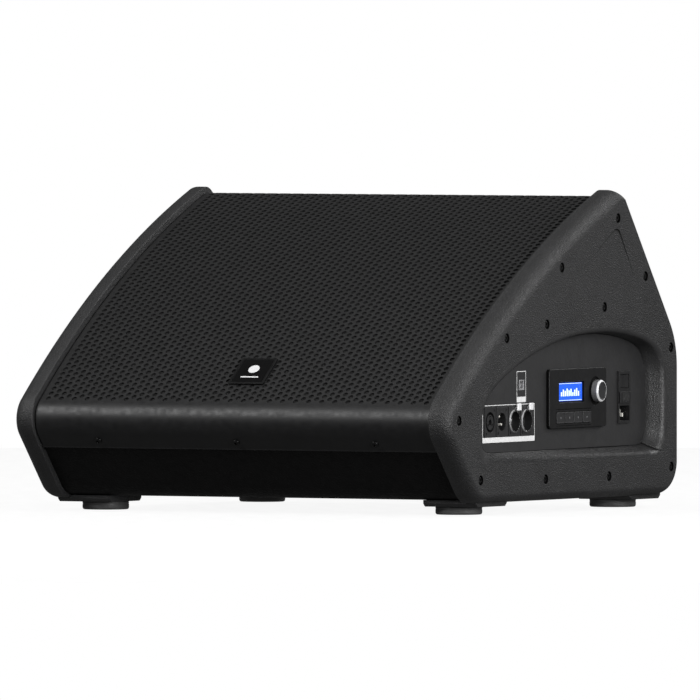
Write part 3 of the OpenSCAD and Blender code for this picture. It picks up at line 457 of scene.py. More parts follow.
PEBBLE = (("voronoi", 760, 0.9, 0.75), ("noise", 1200, 0.9, 0.5))
PEBBLE_FINE = (("voronoi", 900, 0.7, 0.45), ("noise", 1400, 0.7, 0.35))
M = {
    "cheek": node_material("moulded_black", (0.0142, 0.0142, 0.0147), 0.5, vary=0.18, vary_scale=30, bumps=PEBBLE,
                           wear=(0.25, (0.06, 0.06, 0.062)), rough_vary=0.07),
    # a darker, duller copy of the bay-wall moulding: painted shade on the upward-facing bottom ledge of the bay
    "ledge": node_material("moulded_ledge_painted_shade", (0.0125, 0.0125, 0.013), 0.48, vary=0.18, vary_scale=40, specular=0.36, bumps=PEBBLE, rough_vary=0.07),
    # a lighter, shinier copy of the cheek moulding for the bay's rim and flared wall: painted highlight on the wall
    "flare": node_material("moulded_bay_wall_painted_highlight", (0.022, 0.022, 0.0225), 0.4, specular=0.55, vary=0.18, vary_scale=40, bumps=PEBBLE_FINE, rough_vary=0.07),
    "plywood": node_material("birch_plywood", (0.36, 0.25, 0.15), 0.62, vary=0.3, vary_scale=18, stretch=(1, 6, 6),
                             bumps=(("noise", 240, 0.3, 0.2),)),
    "painted": node_material("painted_plywood", (0.0035, 0.0034, 0.0034), 0.6, vary=0.35, vary_scale=120,
                             bumps=(("voronoi", 420, 0.9, 0.8), ("noise", 900, 0.6, 0.4)), specular=0.16),
    "grille": node_material("grille_coating", (0.0065, 0.0065, 0.0069), 0.46, specular=0.38, vary=0.2, vary_scale=60, rough_vary=0.08,
                            bumps=(("noise", 1400, 0.25, 0.12),), wear=(0.2, (0.07, 0.07, 0.07))),
    "foam": node_material("acoustic_foam", (0.022, 0.022, 0.022), 0.95, vary=0.5, vary_scale=700, specular=0.1,
                          bumps=(("voronoi", 520, 0.9, 1.2),)),
    "badge": node_material("badge_plate", (0.0015, 0.0015, 0.0016), 0.6, specular=0.08, vary=0.2, bumps=(("noise", 900, 0.15, 0.1),)),
    "badge_line": node_material("badge_edge", (0.004, 0.004, 0.0042), 0.35, specular=0.2, vary=0.2, bumps=(("noise", 900, 0.15, 0.1),)),
    "emblem": node_material("badge_emblem", (0.8, 0.8, 0.81), 0.35, metallic=0.1, vary=0.05, vary_scale=300, bumps=(("noise", 900, 0.1, 0.05),)),
    # near-black, dull lining for the screw counterbores and the triangular crease: painted shade in the hollows
    "recess": node_material("hollow_painted_shade", (0.002, 0.002, 0.002), 0.7, vary=0.2, vary_scale=300, specular=0.05, bumps=(("noise", 900, 0.2, 0.1),)),
    # a darker, duller copy of the bezel plastic for its side and opening walls: painted shade
    "bezel_wall_painted_shade": node_material("bezel_wall_painted_shade", (0.003, 0.003, 0.003), 0.6, vary=0.2, vary_scale=90, specular=0.08, bumps=(("noise", 1100, 0.1, 0.06),)),
    "port": node_material("port_tube", (0.014, 0.014, 0.014), 0.6, bumps=(("noise", 700, 0.3, 0.2),)),
    "cast": node_material("cast_frame", (0.045, 0.045, 0.047), 0.5, metallic=0.4, bumps=(("noise", 500, 0.4, 0.3),)),
    "cloth": node_material("treated_cloth", (0.02, 0.02, 0.02), 0.8, vary=0.3, vary_scale=400, bumps=(("voronoi", 900, 0.6, 0.4),), sheen=0.2),
    "spider": node_material("amber_cloth", (0.42, 0.26, 0.08), 0.8, vary=0.3, vary_scale=400, bumps=(("voronoi", 900, 0.6, 0.4),), sheen=0.1),
    "paper": node_material("cone_pulp", (0.018, 0.018, 0.018), 0.75, vary=0.4, vary_scale=220, bumps=(("noise", 600, 0.5, 0.3),)),
    "copper": node_material("copper_winding", (0.72, 0.34, 0.16), 0.3, metallic=1.0, vary=0.15, stretch=(1, 1, 12), bumps=(("noise", 300, 0.4, 0.2),)),
    "zinc": node_material("zinc_steel", (0.5, 0.5, 0.52), 0.35, metallic=1.0, vary=0.12, vary_scale=90, bumps=(("noise", 500, 0.15, 0.1),)),
    "ferrite": node_material("ferrite", (0.04, 0.04, 0.044), 0.7, vary=0.3, vary_scale=120, bumps=(("noise", 300, 0.4, 0.3),)),
    "horn": node_material("horn_plastic", (0.016, 0.016, 0.016), 0.5, bumps=(("noise", 700, 0.2, 0.2),)),
    "foil": node_material("dome_foil", (0.7, 0.7, 0.72), 0.25, metallic=1.0, vary=0.08, bumps=(("noise", 400, 0.1, 0.1),)),
    "sheet": node_material("mill_aluminium", (0.6, 0.6, 0.62), 0.38, metallic=1.0, vary=0.08, stretch=(1, 8, 1), bumps=(("noise", 260, 0.15, 0.1),)),
    "board": node_material("solder_mask", (0.012, 0.12, 0.05), 0.4, vary=0.25, vary_scale=160, bumps=(("noise", 800, 0.2, 0.1),)),
    "supply": node_material("supply_board", (0.22, 0.13, 0.05), 0.5, vary=0.3, vary_scale=120, bumps=(("noise", 600, 0.2, 0.1),)),
    "panel": node_material("panel_coating", (0.014, 0.014, 0.0146), 0.6, vary=0.15, vary_scale=50, bumps=(("voronoi", 1300, 0.35, 0.2),), rough_vary=0.06),
    "brass": node_material("turned_brass", (0.7, 0.5, 0.22), 0.3, metallic=1.0, vary=0.1, bumps=(("noise", 900, 0.15, 0.1),)),
    "connector": node_material("connector_nylon", (0.012, 0.012, 0.0125), 0.42, vary=0.2, vary_scale=300, bumps=(("noise", 1500, 0.2, 0.1),), wear=(0.3, (0.05, 0.05, 0.05))),
    "pins": node_material("plated_pins", (0.86, 0.84, 0.78), 0.35, metallic=0.4, vary=0.06, bumps=(("noise", 1500, 0.08, 0.05),)),
    "ring": node_material("ring_finish", (0.85, 0.85, 0.86), 0.35, metallic=0.35, vary=0.06, vary_scale=300, bumps=(("noise", 1200, 0.1, 0.05),)),
    "tab": node_material("tab_finish", (0.9, 0.9, 0.91), 0.35, metallic=0.2, vary=0.05, vary_scale=300, bumps=(("noise", 1200, 0.1, 0.05),)),
    "nickel": node_material("nickel_shell", (0.66, 0.66, 0.68), 0.28, metallic=1.0, vary=0.1, vary_scale=300, bumps=(("noise", 1200, 0.12, 0.06),)),
    "usb": node_material("plated_sheet", (0.4, 0.4, 0.41), 0.35, metallic=0.5, vary=0.08, stretch=(1, 5, 1), bumps=(("noise", 900, 0.1, 0.05),)),
    "bezel": node_material("bezel_plastic", (0.006, 0.006, 0.0063), 0.4, vary=0.15, vary_scale=90, specular=0.32, bumps=(("noise", 1100, 0.1, 0.06),), wear=(0.06, (0.03, 0.03, 0.03))),
    "key": node_material("key_plastic", (0.018, 0.018, 0.019), 0.45, vary=0.15, vary_scale=200, bumps=(("noise", 1600, 0.2, 0.08),)),
    "screen_edge": node_material("screen_surround", (0.006, 0.006, 0.008), 0.15, vary=0.1, bumps=(("noise", 300, 0.02, 0.05),)),
    "screen": node_material("screen_blue", (0.01, 0.06, 0.4), 0.2, vary=0.1, emission=((0.015, 0.11, 0.82), 0.9), bumps=(("noise", 300, 0.02, 0.05),)),
    "lit": node_material("screen_white", (0.6, 0.7, 0.8), 0.3, vary=0.05, emission=((0.62, 0.78, 1.0), 0.9), bumps=(("noise", 300, 0.02, 0.05),)),
    "steel": node_material("plated_steel", (0.52, 0.52, 0.54), 0.3, metallic=1.0, vary=0.08, bumps=(("noise", 900, 0.12, 0.06),)),
    "knob": node_material("knob_side", (0.16, 0.16, 0.165), 0.45, vary=0.15, vary_scale=200, bumps=(("noise", 1500, 0.2, 0.08),)),
    # pale, barely metallic chamfer ring: partly the knob's silver finish, partly a painted highlight standing in for
    # its reflection
    "knob_ring": node_material("knob_chamfer_painted_highlight", (0.85, 0.85, 0.86), 0.35, metallic=0.3, vary=0.06, bumps=(("noise", 1500, 0.06, 0.04),)),
    "knob_cap": node_material("knob_face", (0.02, 0.02, 0.021), 0.35, vary=0.15, bumps=(("noise", 1500, 0.12, 0.06),)),
    "inlet": node_material("inlet_plastic", (0.01, 0.01, 0.0105), 0.34, vary=0.15, vary_scale=160, bumps=(("noise", 1300, 0.15, 0.08),), wear=(0.3, (0.045, 0.045, 0.046))),
    "glass": node_material("fuse_glass", (0.8, 0.84, 0.86), 0.12, vary=0.04, bumps=(("noise", 300, 0.03, 0.05),)),
    "screw": node_material("black_oxide", (0.006, 0.006, 0.0062), 0.32, metallic=0.5, vary=0.2, vary_scale=300, bumps=(("noise", 1200, 0.2, 0.1),)),
    "rubber": node_material("foot_rubber", (0.07, 0.07, 0.0705), 0.55, vary=0.25, vary_scale=80, bumps=(("noise", 700, 0.3, 0.2),), specular=0.45),
    "ink": node_material("screen_print", (0.72, 0.72, 0.72), 0.55, vary=0.12, vary_scale=500, bumps=(("noise", 1400, 0.2, 0.04),)),
    "lead": node_material("lead_insulation", (0.4, 0.03, 0.025), 0.45, vary=0.1, bumps=(("noise", 500, 0.15, 0.1),)),
    "carved": node_material("cheek_lip", (0.04, 0.04, 0.041), 0.4, vary=0.15, vary_scale=40, bumps=PEBBLE),
}

# ---------------------------------------------------------------- camera, floor and light
AZ, EL, DIST = math.radians(28.575), math.radians(1.22), 28.0
cam_data = bpy.data.cameras.new("camera")
cam = bpy.data.objects.new("camera", cam_data)
scene.collection.objects.link(cam)
back = Vector((math.sin(AZ) * math.cos(EL), -math.cos(AZ) * math.cos(EL), math.sin(EL)))
right = Vector((math.cos(AZ), math.sin(AZ), 0))
aim = right * 0.00368 + Vector((0, 0, 0.16686))
cam.location = aim + back * DIST
cam.rotation_mode = "QUATERNION"
cam.rotation_quaternion = (-back).to_track_quat("-Z", "Y")
cam_data.sensor_width = 36.0
cam_data.lens = 1367.9
cam_data.clip_start, cam_data.clip_end = 1.0, 200.0
scene.camera = cam
scene.view_settings.view_transform = "Standard"

floor_build = Build()
n_floor = 64
ring_a = floor_build.add([(2600 * math.cos(2 * math.pi * i / n_floor), 2600 * math.sin(2 * math.pi * i / n_floor), -0.4) for i in range(n_floor)])
floor_build.face(ring_a)
floor_mesh = bpy.data.meshes.new("floor")
floor_mesh.from_pydata([(x * MM, y * MM, z * MM) for x, y, z in floor_build.v], [], floor_build.f)
floor_obj = bpy.data.objects.new("floor", floor_mesh)
floor_mesh.materials.append(node_material("pale_floor", (0.07, 0.07, 0.07), 0.8, vary=0.01, rough_vary=0.02, specular=0.1, emission=((1.0, 1.0, 1.0), 0.99)))
scene.collection.objects.link(floor_obj)
floor_obj.visible_diffuse = False
floor_obj.visible_glossy = False

world = bpy.data.worlds.new("studio")
world.use_nodes = True
scene.world = world
wn, wl = world.node_tree.nodes, world.node_tree.links
for n in list(wn):
    wn.remove(n)
w_out = wn.new("ShaderNodeOutputWorld")
w_coord = wn.new("ShaderNodeTexCoord")
w_sep = wn.new("ShaderNodeSeparateXYZ")
w_ramp = wn.new("ShaderNodeValToRGB")
w_ramp.color_ramp.elements[0].position = 0.42
w_ramp.color_ramp.elements[0].color = (0.13, 0.13, 0.13, 1)
w_ramp.color_ramp.elements[1].position = 0.75
w_ramp.color_ramp.elements[1].color = (0.15, 0.15, 0.15, 1)
w_map = wn.new("ShaderNodeMapRange")
w_map.inputs["From Min"].default_value = -1
w_map.inputs["From Max"].default_value = 1
w_light = wn.new("ShaderNodeBackground")
w_white = wn.new("ShaderNodeBackground")
w_white.inputs["Color"].default_value = (1, 1, 1, 1)
w_path = wn.new("ShaderNodeLightPath")
w_mix = wn.new("ShaderNodeMixShader")
wl.new(w_coord.outputs["Generated"], w_sep.inputs["Vector"])
wl.new(w_sep.outputs["Z"], w_map.inputs["Value"])
wl.new(w_map.outputs["Result"], w_ramp.inputs["Fac"])
wl.new(w_ramp.outputs["Color"], w_light.inputs["Color"])
wl.new(w_path.outputs["Is Camera Ray"], w_mix.inputs["Fac"])
wl.new(w_light.outputs["Background"], w_mix.inputs[1])
wl.new(w_white.outputs["Background"], w_mix.inputs[2])
wl.new(w_mix.outputs["Shader"], w_out.inputs["Surface"])


def softbox(name, azimuth, elevation, distance, width, height, power):
    data = bpy.data.lights.new(name, "AREA")
    data.shape = "RECTANGLE"
    data.size, data.size_y = width, height
    data.energy = power
    obj = bpy.data.objects.new(name, data)
    a, e = math.radians(azimuth), math.radians(elevation)
    d = Vector((math.sin(a) * math.cos(e), -math.cos(a) * math.cos(e), math.sin(e)))
    obj.location = d * distance + Vector((0, 0, 0.15))
    obj.rotation_mode = "QUATERNION"
    obj.rotation_quaternion = d.to_track_quat("Z", "Y")
    scene.collection.objects.link(obj)
    return obj


softbox("key_left", -38, 32, 3.2, 1.6, 1.2, 60)
softbox("key_right", 72, 20, 3.0, 1.4, 1.4, 52)
softbox("top", 10, 82, 3.0, 2.2, 2.2, 22)
softbox("rear_right", 150, 30, 3.2, 1.6, 1.4, 26)
softbox("low_right", 60, 5, 3.2, 1.6, 0.6, 42)


# ---------------------------------------------------------------- cheeks
def ring_normals(loop):
    p = np.asarray(loop, float)
    e = np.roll(p, -1, axis=0) - p
    n = np.stack([e[:, 1], -e[:, 0]], axis=1)
    n /= np.maximum(np.hypot(n[:, 0], n[:, 1]), 1e-9)[:, None]
    m = n + np.roll(n, 1, axis=0)
    return m / np.maximum(np.hypot(m[:, 0], m[:, 1]), 1e-9)[:, None]


def cheek(side, with_bay, name, node, slot):
    b = Build()

    def place(x, p):
        return (side * x, p[0] - BODY_D / 2, p[1])

    rings = [b.add([place(CHEEK_X, p) for p in outline([0.8] * 4)]), b.add([place(CHEEK_X + 0.8, p) for p in outline([0.0] * 4)])]
    steps = 12
    for k in range(steps + 1):
        a = math.pi / 2 * k / steps
        d = FILLET * (1 - math.cos(a))
        rings.append(b.add([place(HALF_W - FILLET * (1 - math.sin(a)), p) for p in outline([d, 0.6 * d, 0.6 * d, 4 * (1 - math.cos(a))])]))
    outer = outline([FILLET + 2, 0.6 * FILLET + 2, 0.6 * FILLET + 2, 6])
    rings.append(b.add([place(HALF_W, p) for p in outer]))
    for low, high in zip(rings[:-1], rings[1:]):
        b.bridge(low, high, 0)
    holes, ids = [], list(rings[-1])
    # the screw counterbores are lined with the near-black hollow material, painted shade inside the holes
    for y, z in SCREWS_YZ:
        previous = None
        for r, x in ((5.3, HALF_W), (5.05, HALF_W - 0.08), (4.8, HALF_W - 0.35), (4.8, HALF_W - 3.2)):
            loop = circle(y, z, r, 32)
            ring = b.add([place(x, p) for p in loop])
            if previous is None:
                holes.append(loop)
                ids += ring
            else:
                b.bridge(previous, ring, 2)
            previous = ring
        b.face(previous, 2)
    # a shallow triangular field below the top, which fades out downward
    corner = [np.array([273.0, 240.0]), np.array([376.0, 298.5]), np.array([415.0, 240.0])]
    t0 = [corner[0]]
    for k in range(7):
        t = k / 6
        a = mix(corner[1], corner[0], 0.1)
        c = mix(corner[1], corner[2], 0.16)
        t0.append((1 - t) ** 2 * a + 2 * t * (1 - t) * corner[1] + t * t * c)
    t0.append(corner[2])
    t0 = np.array(t0)[::-1]
    middle = np.array([358.0, 258.0])
    t1 = []
    for p in t0:
        w = min(1.0, (p[1] - 240.0) / 12.0)
        q = middle - p
        t1.append(p + q / np.hypot(*q) * 1.3 * w)
    t1 = np.array(t1)
    # finer rows, so that the depth can fade
    ring0 = b.add([place(HALF_W, p) for p in t0])
    ring1 = b.add([place(HALF_W - 0.55 * max(0.0, min(1.0, (p[1] - 240.0) / 30.0)), p) for p in t1])
    holes.append(t0)
    ids += ring0
    # the crease wall takes the near-black hollow material, a painted shaded line
    b.bridge(ring0, ring1, 2)
    for t in fill(t1):
        b.face([ring1[i] for i in t], 0)
    inner_holes, inner_ids = [], []
    if with_bay:
        rim = smooth_loop(RIM[::-1], 4)
        plate = smooth_loop(PLATE[::-1], 4)
        normal = ring_normals(rim)
        foot = np.array([bay(0, p[0] - BAY_Y, p[1]) for p in plate])
        foot[:, 1] += BODY_D / 2
        lip = np.array([[HALF_W, p[0], p[1]] for p in rim])
        along = lip - foot
        length = np.sqrt((along ** 2).sum(axis=1))
        rho = np.minimum(4.5, 0.55 * length)
        wall = lip - along / length[:, None] * rho[:, None]
        out = lip.copy()
        out[:, 1:] += normal * rho[:, None]
        loops = []
        for k in range(7):
            t = k / 6
            loops.append((1 - t) ** 2 * out + 2 * t * (1 - t) * lip + t * t * wall)
        for t in (0.33, 0.66, 1.0):
            loops.append(mix(wall, foot, t))
        back_u = np.array([bay(-(p[0] - CHEEK_X) / math.cos(TILT), q[0] - BAY_Y, q[1]) for p, q in zip(foot, plate)])
        back_u[:, 1] += BODY_D / 2
        loops.append(back_u)
        # the rim rounding and flared wall take the lighter copy of the moulding, a painted highlight
        made = [b.add([place(p[0], p[1:]) for p in loop]) for loop in loops]
        for k, (low, high) in enumerate(zip(made[:-1], made[1:])):
            b.bridge(low, high, 1)
        holes.append(loops[0][:, 1:])
        ids += made[0]
        inner_holes.append(back_u[:, 1:])
        inner_ids += made[-1]
    for t in fill(outer, holes):
        b.face([ids[i] for i in t], 0)
    inner_ids = list(rings[0]) + inner_ids
    for t in fill(outline([0.8] * 4), inner_holes):
        b.face([inner_ids[i] for i in reversed(t)], 0)
    # pads under the cabinet
    for y in FOOT_Y:
        pad = np.array([[y - 34, 15.4], [y - 34, 12], [y - 33.5, 11.4], [y - 30.5, 8.8], [y - 29.8, 8.5],
                        [y + 29.8, 8.5], [y + 30.5, 8.8], [y + 33.5, 11.4], [y + 34, 12], [y + 34, 15.4]])
        slab(b, lambda u, v, z: (side * u, v - BODY_D / 2, z), pad, [], 187.0, 250.0, edge=0.8)
    obj = b.object(name, [M["cheek"], M["flare"], M["recess"], M["ledge"]], "cabinet", slot, replaces=(node,), sharp=32)
    # bay wall faces along the bottom ledge take the darker copy of the moulding, painted shade where the ledge faces up
    for f in obj.data.polygons:
        if f.material_index == 1 and f.center.z < 0.0672 and -0.165 < f.center.y < 0.194:
            f.material_index = 3
    return obj


cheek(1, True, "cheek_right.skin", "right_cheek", SLOT_OF["right_cheek"])
cheek(-1, False, "cheek_left.skin", "left_cheek", SLOT_OF["left_cheek"])


# ---------------------------------------------------------------- perforated grille
def sheet_path():
    """The outer face of the grille sheet as dense (Y from the nose, Z), from the rear slope over the top and down round the nose."""
    pts = []
    start = APEX_C + (APEX_R - GRILLE_IN[3]) * direction(SLOPE_A)
    for i in range(15):
        pts.append(start + (14 - i) * direction(SLOPE_A - 90))
    pts += arc(APEX_C, APEX_R, SLOPE_A, APEX_A, 60, GRILLE_IN, 1)
    pts += arc(FRONT_C, FRONT_R, APEX_A, FRONT_A, 400, GRILLE_IN, 1)
    pts += arc(NOSE_C, NOSE_R, FRONT_A, LOWER_A, 120, GRILLE_IN, 1)
    end = NOSE_C + (NOSE_R - GRILLE_IN[1]) * direction(LOWER_A)
    out = direction(LOWER_A)
    for i in range(1, 35):
        t = i / 2
        curl = 0.0 if t < 14.4 else 0.75 * ((t - 14.4) / 2.6) ** 2
        pts.append(end + t * direction(LOWER_A + 90) + curl * out)
    return np.array(pts)


PATH = sheet_path()
PATH_S = np.concatenate([[0], np.cumsum(np.hypot(*np.diff(PATH, axis=0).T))])
tangent = np.gradient(PATH, PATH_S, axis=0)
PATH_N = np.stack([-tangent[:, 1], tangent[:, 0]], axis=1)
PATH_N /= np.hypot(PATH_N[:, 0], PATH_N[:, 1])[:, None]
if (PATH_N[len(PATH) // 3] @ direction(110)) < 0:
    PATH_N = -PATH_N


def on_path(s, depth=0.0):
    p = np.array([np.interp(s, PATH_S, PATH[:, k]) for k in (0, 1)])
    n = np.array([np.interp(s, PATH_S, PATH_N[:, k]) for k in (0, 1)])
    return p - depth * n / np.hypot(*n)


def path_s(angle):
    """Length along the path where the outward normal has this direction."""
    a = np.degrees(np.arctan2(PATH_N[:, 1], PATH_N[:, 0])) % 360
    return float(PATH_S[np.argmin(np.abs(a - angle))])


ROW, COL, HOLE_R, COLS = 3.98, 7.775, 3.0, 59
s_top = path_s(SLOPE_A + 6)
rows = int((path_s(FRONT_A) + 3.0 - s_top) / ROW)
X_LINES = [-GRILLE_X] + [(-COLS / 2 + k) * COL for k in range(COLS + 1)] + [GRILLE_X]
S_TOP = [x for x in np.linspace(0, s_top, 12)]
S_MID = [s_top + j * ROW for j in range(1, rows)]
s_bottom = s_top + rows * ROW
S_LOW = [x for x in np.linspace(s_bottom, PATH_S[-1], 46)]
S_LINES = S_TOP + S_MID + S_LOW
FIRST = len(S_TOP) - 1


def make_grille():
    flat, quads = [], []
    grid = {}
    for i, x in enumerate(X_LINES):
        for j, s in enumerate(S_LINES):
            grid[i, j] = len(flat)
            flat.append((x, s))
    for i in range(len(X_LINES) - 1):
        column = i - 1
        perforated = 0 <= column < COLS
        j = 0
        while j < len(S_LINES) - 1:
            row = j - FIRST
            if perforated and row >= 0 and row + 2 <= rows and (row + column) % 2 == 0:
                # one cell, two rows high, with a round hole
                x = (X_LINES[i] + X_LINES[i + 1]) / 2
                s = S_LINES[j + 1]
                h = []
                for k in range(12):
                    a = math.radians(30 * k + 15)
                    h.append(len(flat))
                    flat.append((x + HOLE_R * math.cos(a), s + HOLE_R * math.sin(a)))
                b0, b1, b2 = grid[i + 1, j + 1], grid[i + 1, j + 2], grid[i, j + 2]
                b3, b4, b5 = grid[i, j + 1], grid[i, j], grid[i + 1, j]
                quads += [[b0, b1, h[0]], [b1, h[1], h[0]], [b1, h[2], h[1]], [b1, b2, h[3], h[2]], [b2, h[4], h[3]], [b2, h[5], h[4]],
                          [b2, b3, h[5]], [b3, h[6], h[5]], [b3, b4, h[6]], [b4, h[7], h[6]], [b4, h[8], h[7]],
                          [b4, b5, h[9], h[8]], [b5, h[10], h[9]], [b5, h[11], h[10]], [b5, b0, h[11]], [b0, h[0], h[11]]]
                j += 2
                continue
            quads.append([grid[i, j], grid[i + 1, j], grid[i + 1, j + 1], grid[i, j + 1]])
            j += 1
    flat = np.array(flat)
    b = Build()
    layers = []
    for depth in (0.0, GRILLE_T):
        yz = np.array([on_path(s, depth) for s in flat[:, 1]])
        layers.append(b.add(np.stack([flat[:, 0], yz[:, 0] - BODY_D / 2, yz[:, 1]], axis=1)))
    top, low = layers
    count = {}
    for q in quads:
        b.face([top[i] for i in q])
        b.face([low[i] for i in reversed(q)])
        for a, c in zip(q, q[1:] + q[:1]):
            key = (min(a, c), max(a, c))
            count[key] = None if key in count else (a, c)
    for edge in count.values():
        if edge:
            a, c = edge
            b.face([top[c], top[a], low[a], low[c]])
    return b.object("grille.perforated", [M["grille"]], "cabinet", SLOT_OF["grille"], replaces=("grille",), sharp=40)


make_grille()


def make_foam():
    """A thin foam layer close under the whole perforated field."""
    b = Build()
    s_lines = np.linspace(s_top - 3.0, path_s(FRONT_A) + 5.0, 140)
    x_lines = np.linspace(-CHEEK_X + 0.8, CHEEK_X - 0.8, 25)
    layers = []
    for depth in (GRILLE_T + 0.08, GRILLE_T + 1.4):
        rows_yz = [on_path(s, depth) for s in s_lines]
        layers.append([b.add([(x, yz[0] - BODY_D / 2, yz[1]) for x in x_lines]) for yz in rows_yz])
    top, low = layers
    last, end = len(s_lines) - 1, len(x_lines) - 1
    for j in range(last):
        for i in range(end):
            b.face([top[j][i], top[j][i + 1], top[j + 1][i + 1], top[j + 1][i]])
            b.face([low[j][i], low[j + 1][i], low[j + 1][i + 1], low[j][i + 1]])
        b.face([top[j][0], top[j + 1][0], low[j + 1][0], low[j][0]])
        b.face([top[j][end], low[j][end], low[j + 1][end], top[j + 1][end]])
    for i in range(end):
        b.face([top[0][i], low[0][i], low[0][i + 1], top[0][i + 1]])
        b.face([top[last][i], top[last][i + 1], low[last][i + 1], low[last][i]])
    return b.object("grille_foam.layer", [M["foam"]], "cabinet", SLOT_OF["grille_foam"], replaces=("grille_foam",))


make_foam()

# ---------------------------------------------------------------- badge
BADGE_A, BADGE_W = 127.9, 42.0


def at_badge(u, v, w):
    p = FRONT_C + (FRONT_R - GRILLE_IN[0] + 0.25 + u) * direction(BADGE_A) + w * direction(BADGE_A - 90)
    return (v, p[0] - BODY_D / 2, p[1])


b = Build()
half = BADGE_W / 2
slab(b, at_badge, rrect(-half, half, -half, half, 1.5), [(rrect(-half + 2.6, half - 2.6, -half + 2.6, half - 2.6, 0.8), 1.15, 0.15)], 0, 1.6, edge=0.35)
b.object("badge.frame", [M["badge_line"]], "cabinet", SLOT_OF["badge"], replaces=("badge",))
b = Build()
slab(b, at_badge, rrect(-half + 3.6, half - 3.6, -half + 3.6, half - 3.6, 0.6), [(circle(0, 3.0, 8.0, 48), 1.25, 0.12), (rrect(-11.5, 11.5, -11.6, -8.2, 0.6), 1.25, 0.1)], 1.1, 1.5, edge=0.15)
b.object("badge.field", [M["badge"]], "cabinet", SLOT_OF["badge"])
b = Build()
slab(b, at_badge, circle(0, 3.0, 6.2, 48), [], 1.2, 1.55, edge=0.12)
slab(b, at_badge, rrect(-10.4, 10.4, -10.9, -9.0, 0.4), [], 1.2, 1.5, edge=0.1)
b.object("badge.emblem", [M["emblem"]], "cabinet", SLOT_OF["badge"])

# ---------------------------------------------------------------- feet
b = Build()
for sx in (-1, 1):
    for y in FOOT_Y:
        lathe(b, lambda u, dv, dz, sx=sx, y=y: (sx * FOOT_X + dv, y - BODY_D / 2 + dz, u),
              [(2.4, 8.5), (23.4, 8.5), (24.1, 8.3), (24.45, 7.7), (24.5, 7.0), (24.3, 6.3), (24.3, 5.5), (24.5, 4.8), (24.5, 2.2), (24.2, 1.1),
               (23.6, 0.35), (22.8, 0.0), (20.5, 0.0), (20.1, 0.5), (18.6, 0.5), (18.2, 0.0), (15.5, 0.0), (15.1, 0.5), (13.6, 0.5), (13.2, 0.0),
               (9.2, 0.0), (8.7, 0.2), (8.5, 0.6), (8.5, 5.0), (2.4, 5.0)], n=64, closed=True)
b.object("feet.rubber", [M["rubber"]], "cabinet", SLOT_OF["feet"], replaces=("feet",))


# ---------------------------------------------------------------- connector bay
def at_axis(v, z):
    return lambda u, dv, dz: bay(u, v + dv, z + dz)


def in_bay(u, v, z):
    return bay(u, v, z)


def bay_slab(name, body, slot, material, outer, holes, u0, u1, edge, replaces=(), materials=None, hole_mat=None, wall_mat=None):
    b = Build()
    slab(b, in_bay, outer, holes, u0, u1, edge=edge, hole_mat=hole_mat, wall_mat=wall_mat)
    return b.object(name, materials or [material], body, slot, replaces=replaces)




# control panel bezel with its window, key openings, groove and knob well
bezel_holes = [(rrect(LCD_V[0], LCD_V[1], LCD_Z[0], LCD_Z[1], 1.0), None, 0.6)]
for i in range(4):
    bezel_holes.append((rrect(KEY_V0 + i * KEY_W + 0.3, KEY_V0 + (i + 1) * KEY_W - 0.3, KEY_Z[0], KEY_Z[1], 0.8), None, 0.25))
bezel_holes.append((rrect(KEY_V0 + 0.2, KEY_V0 + 4 * KEY_W - 0.2, 106.6, 107.4, 0.3), BEZEL_H - 0.6, 0.15))
bezel_holes.append((rrect(KEY_V0 + 0.2, KEY_V0 + 4 * KEY_W - 0.2, 89.4, 90.1, 0.3), BEZEL_H - 0.5, 0.15))
bezel_holes.append((circle(ENC_V, ENC_Z, 15.0, 56), BEZEL_H - 1.0, 0.35))
# the bezel's outer side and the walls and floors of its openings take the darker copy of the bezel plastic, painted
# shade
bay_slab("control_bezel.shell", "cabinet", SLOT_OF["control_bezel"], M["bezel"],
         rrect(BEZEL_V[0], BEZEL_V[1], BEZEL_Z[0], BEZEL_Z[1], 4.0, 8), bezel_holes, 0.0, BEZEL_H, 0.8, replaces=("control_bezel",),
         materials=[M["bezel"], M["bezel_wall_painted_shade"]], hole_mat=1, wall_mat=1)

# display: a dark surround, the lit field, and plain bars on it
b = Build()
slab(b, in_bay, rrect(LCD_V[0] - 1.5, LCD_V[1] + 1.5, LCD_Z[0] - 1.5, LCD_Z[1] + 1.5, 0.5), [], 0.2, BEZEL_H - 1.9, edge=0.1)
b.object("display.surround", [M["screen_edge"]], "cabinet", SLOT_OF["display"], replaces=("display",))
FIELD_V, FIELD_Z = [LCD_V[0] + 1.6, LCD_V[1] - 1.6], [LCD_Z[0] + 1.6, LCD_Z[1] - 1.4]
bay_slab("display.field", "cabinet", SLOT_OF["display"], M["screen"], rrect(FIELD_V[0], FIELD_V[1], FIELD_Z[0], FIELD_Z[1], 0.3), [], BEZEL_H - 1.95, BEZEL_H - 1.82, 0.03)
b = Build()
for k, height in enumerate((4.5, 7.0, 5.5, 8.0, 6.0, 7.5, 4.0, 6.5, 8.0, 5.0)):
    v = FIELD_V[0] + 6.0 + k * 4.6
    slab(b, in_bay, rrect(v, v + 2.9, 120.6, 120.6 + height, 0.2), [], BEZEL_H - 1.83, BEZEL_H - 1.76, edge=0.02, steps=1)
for z in (FIELD_Z[0] + 0.5, FIELD_Z[1] - 1.0):
    slab(b, in_bay, rrect(FIELD_V[0] + 0.8, FIELD_V[1] - 0.8, z, z + 0.5, 0.1), [], BEZEL_H - 1.83, BEZEL_H - 1.76, edge=0.02, steps=1)
b.object("display.bars", [M["lit"]], "cabinet", SLOT_OF["display"])

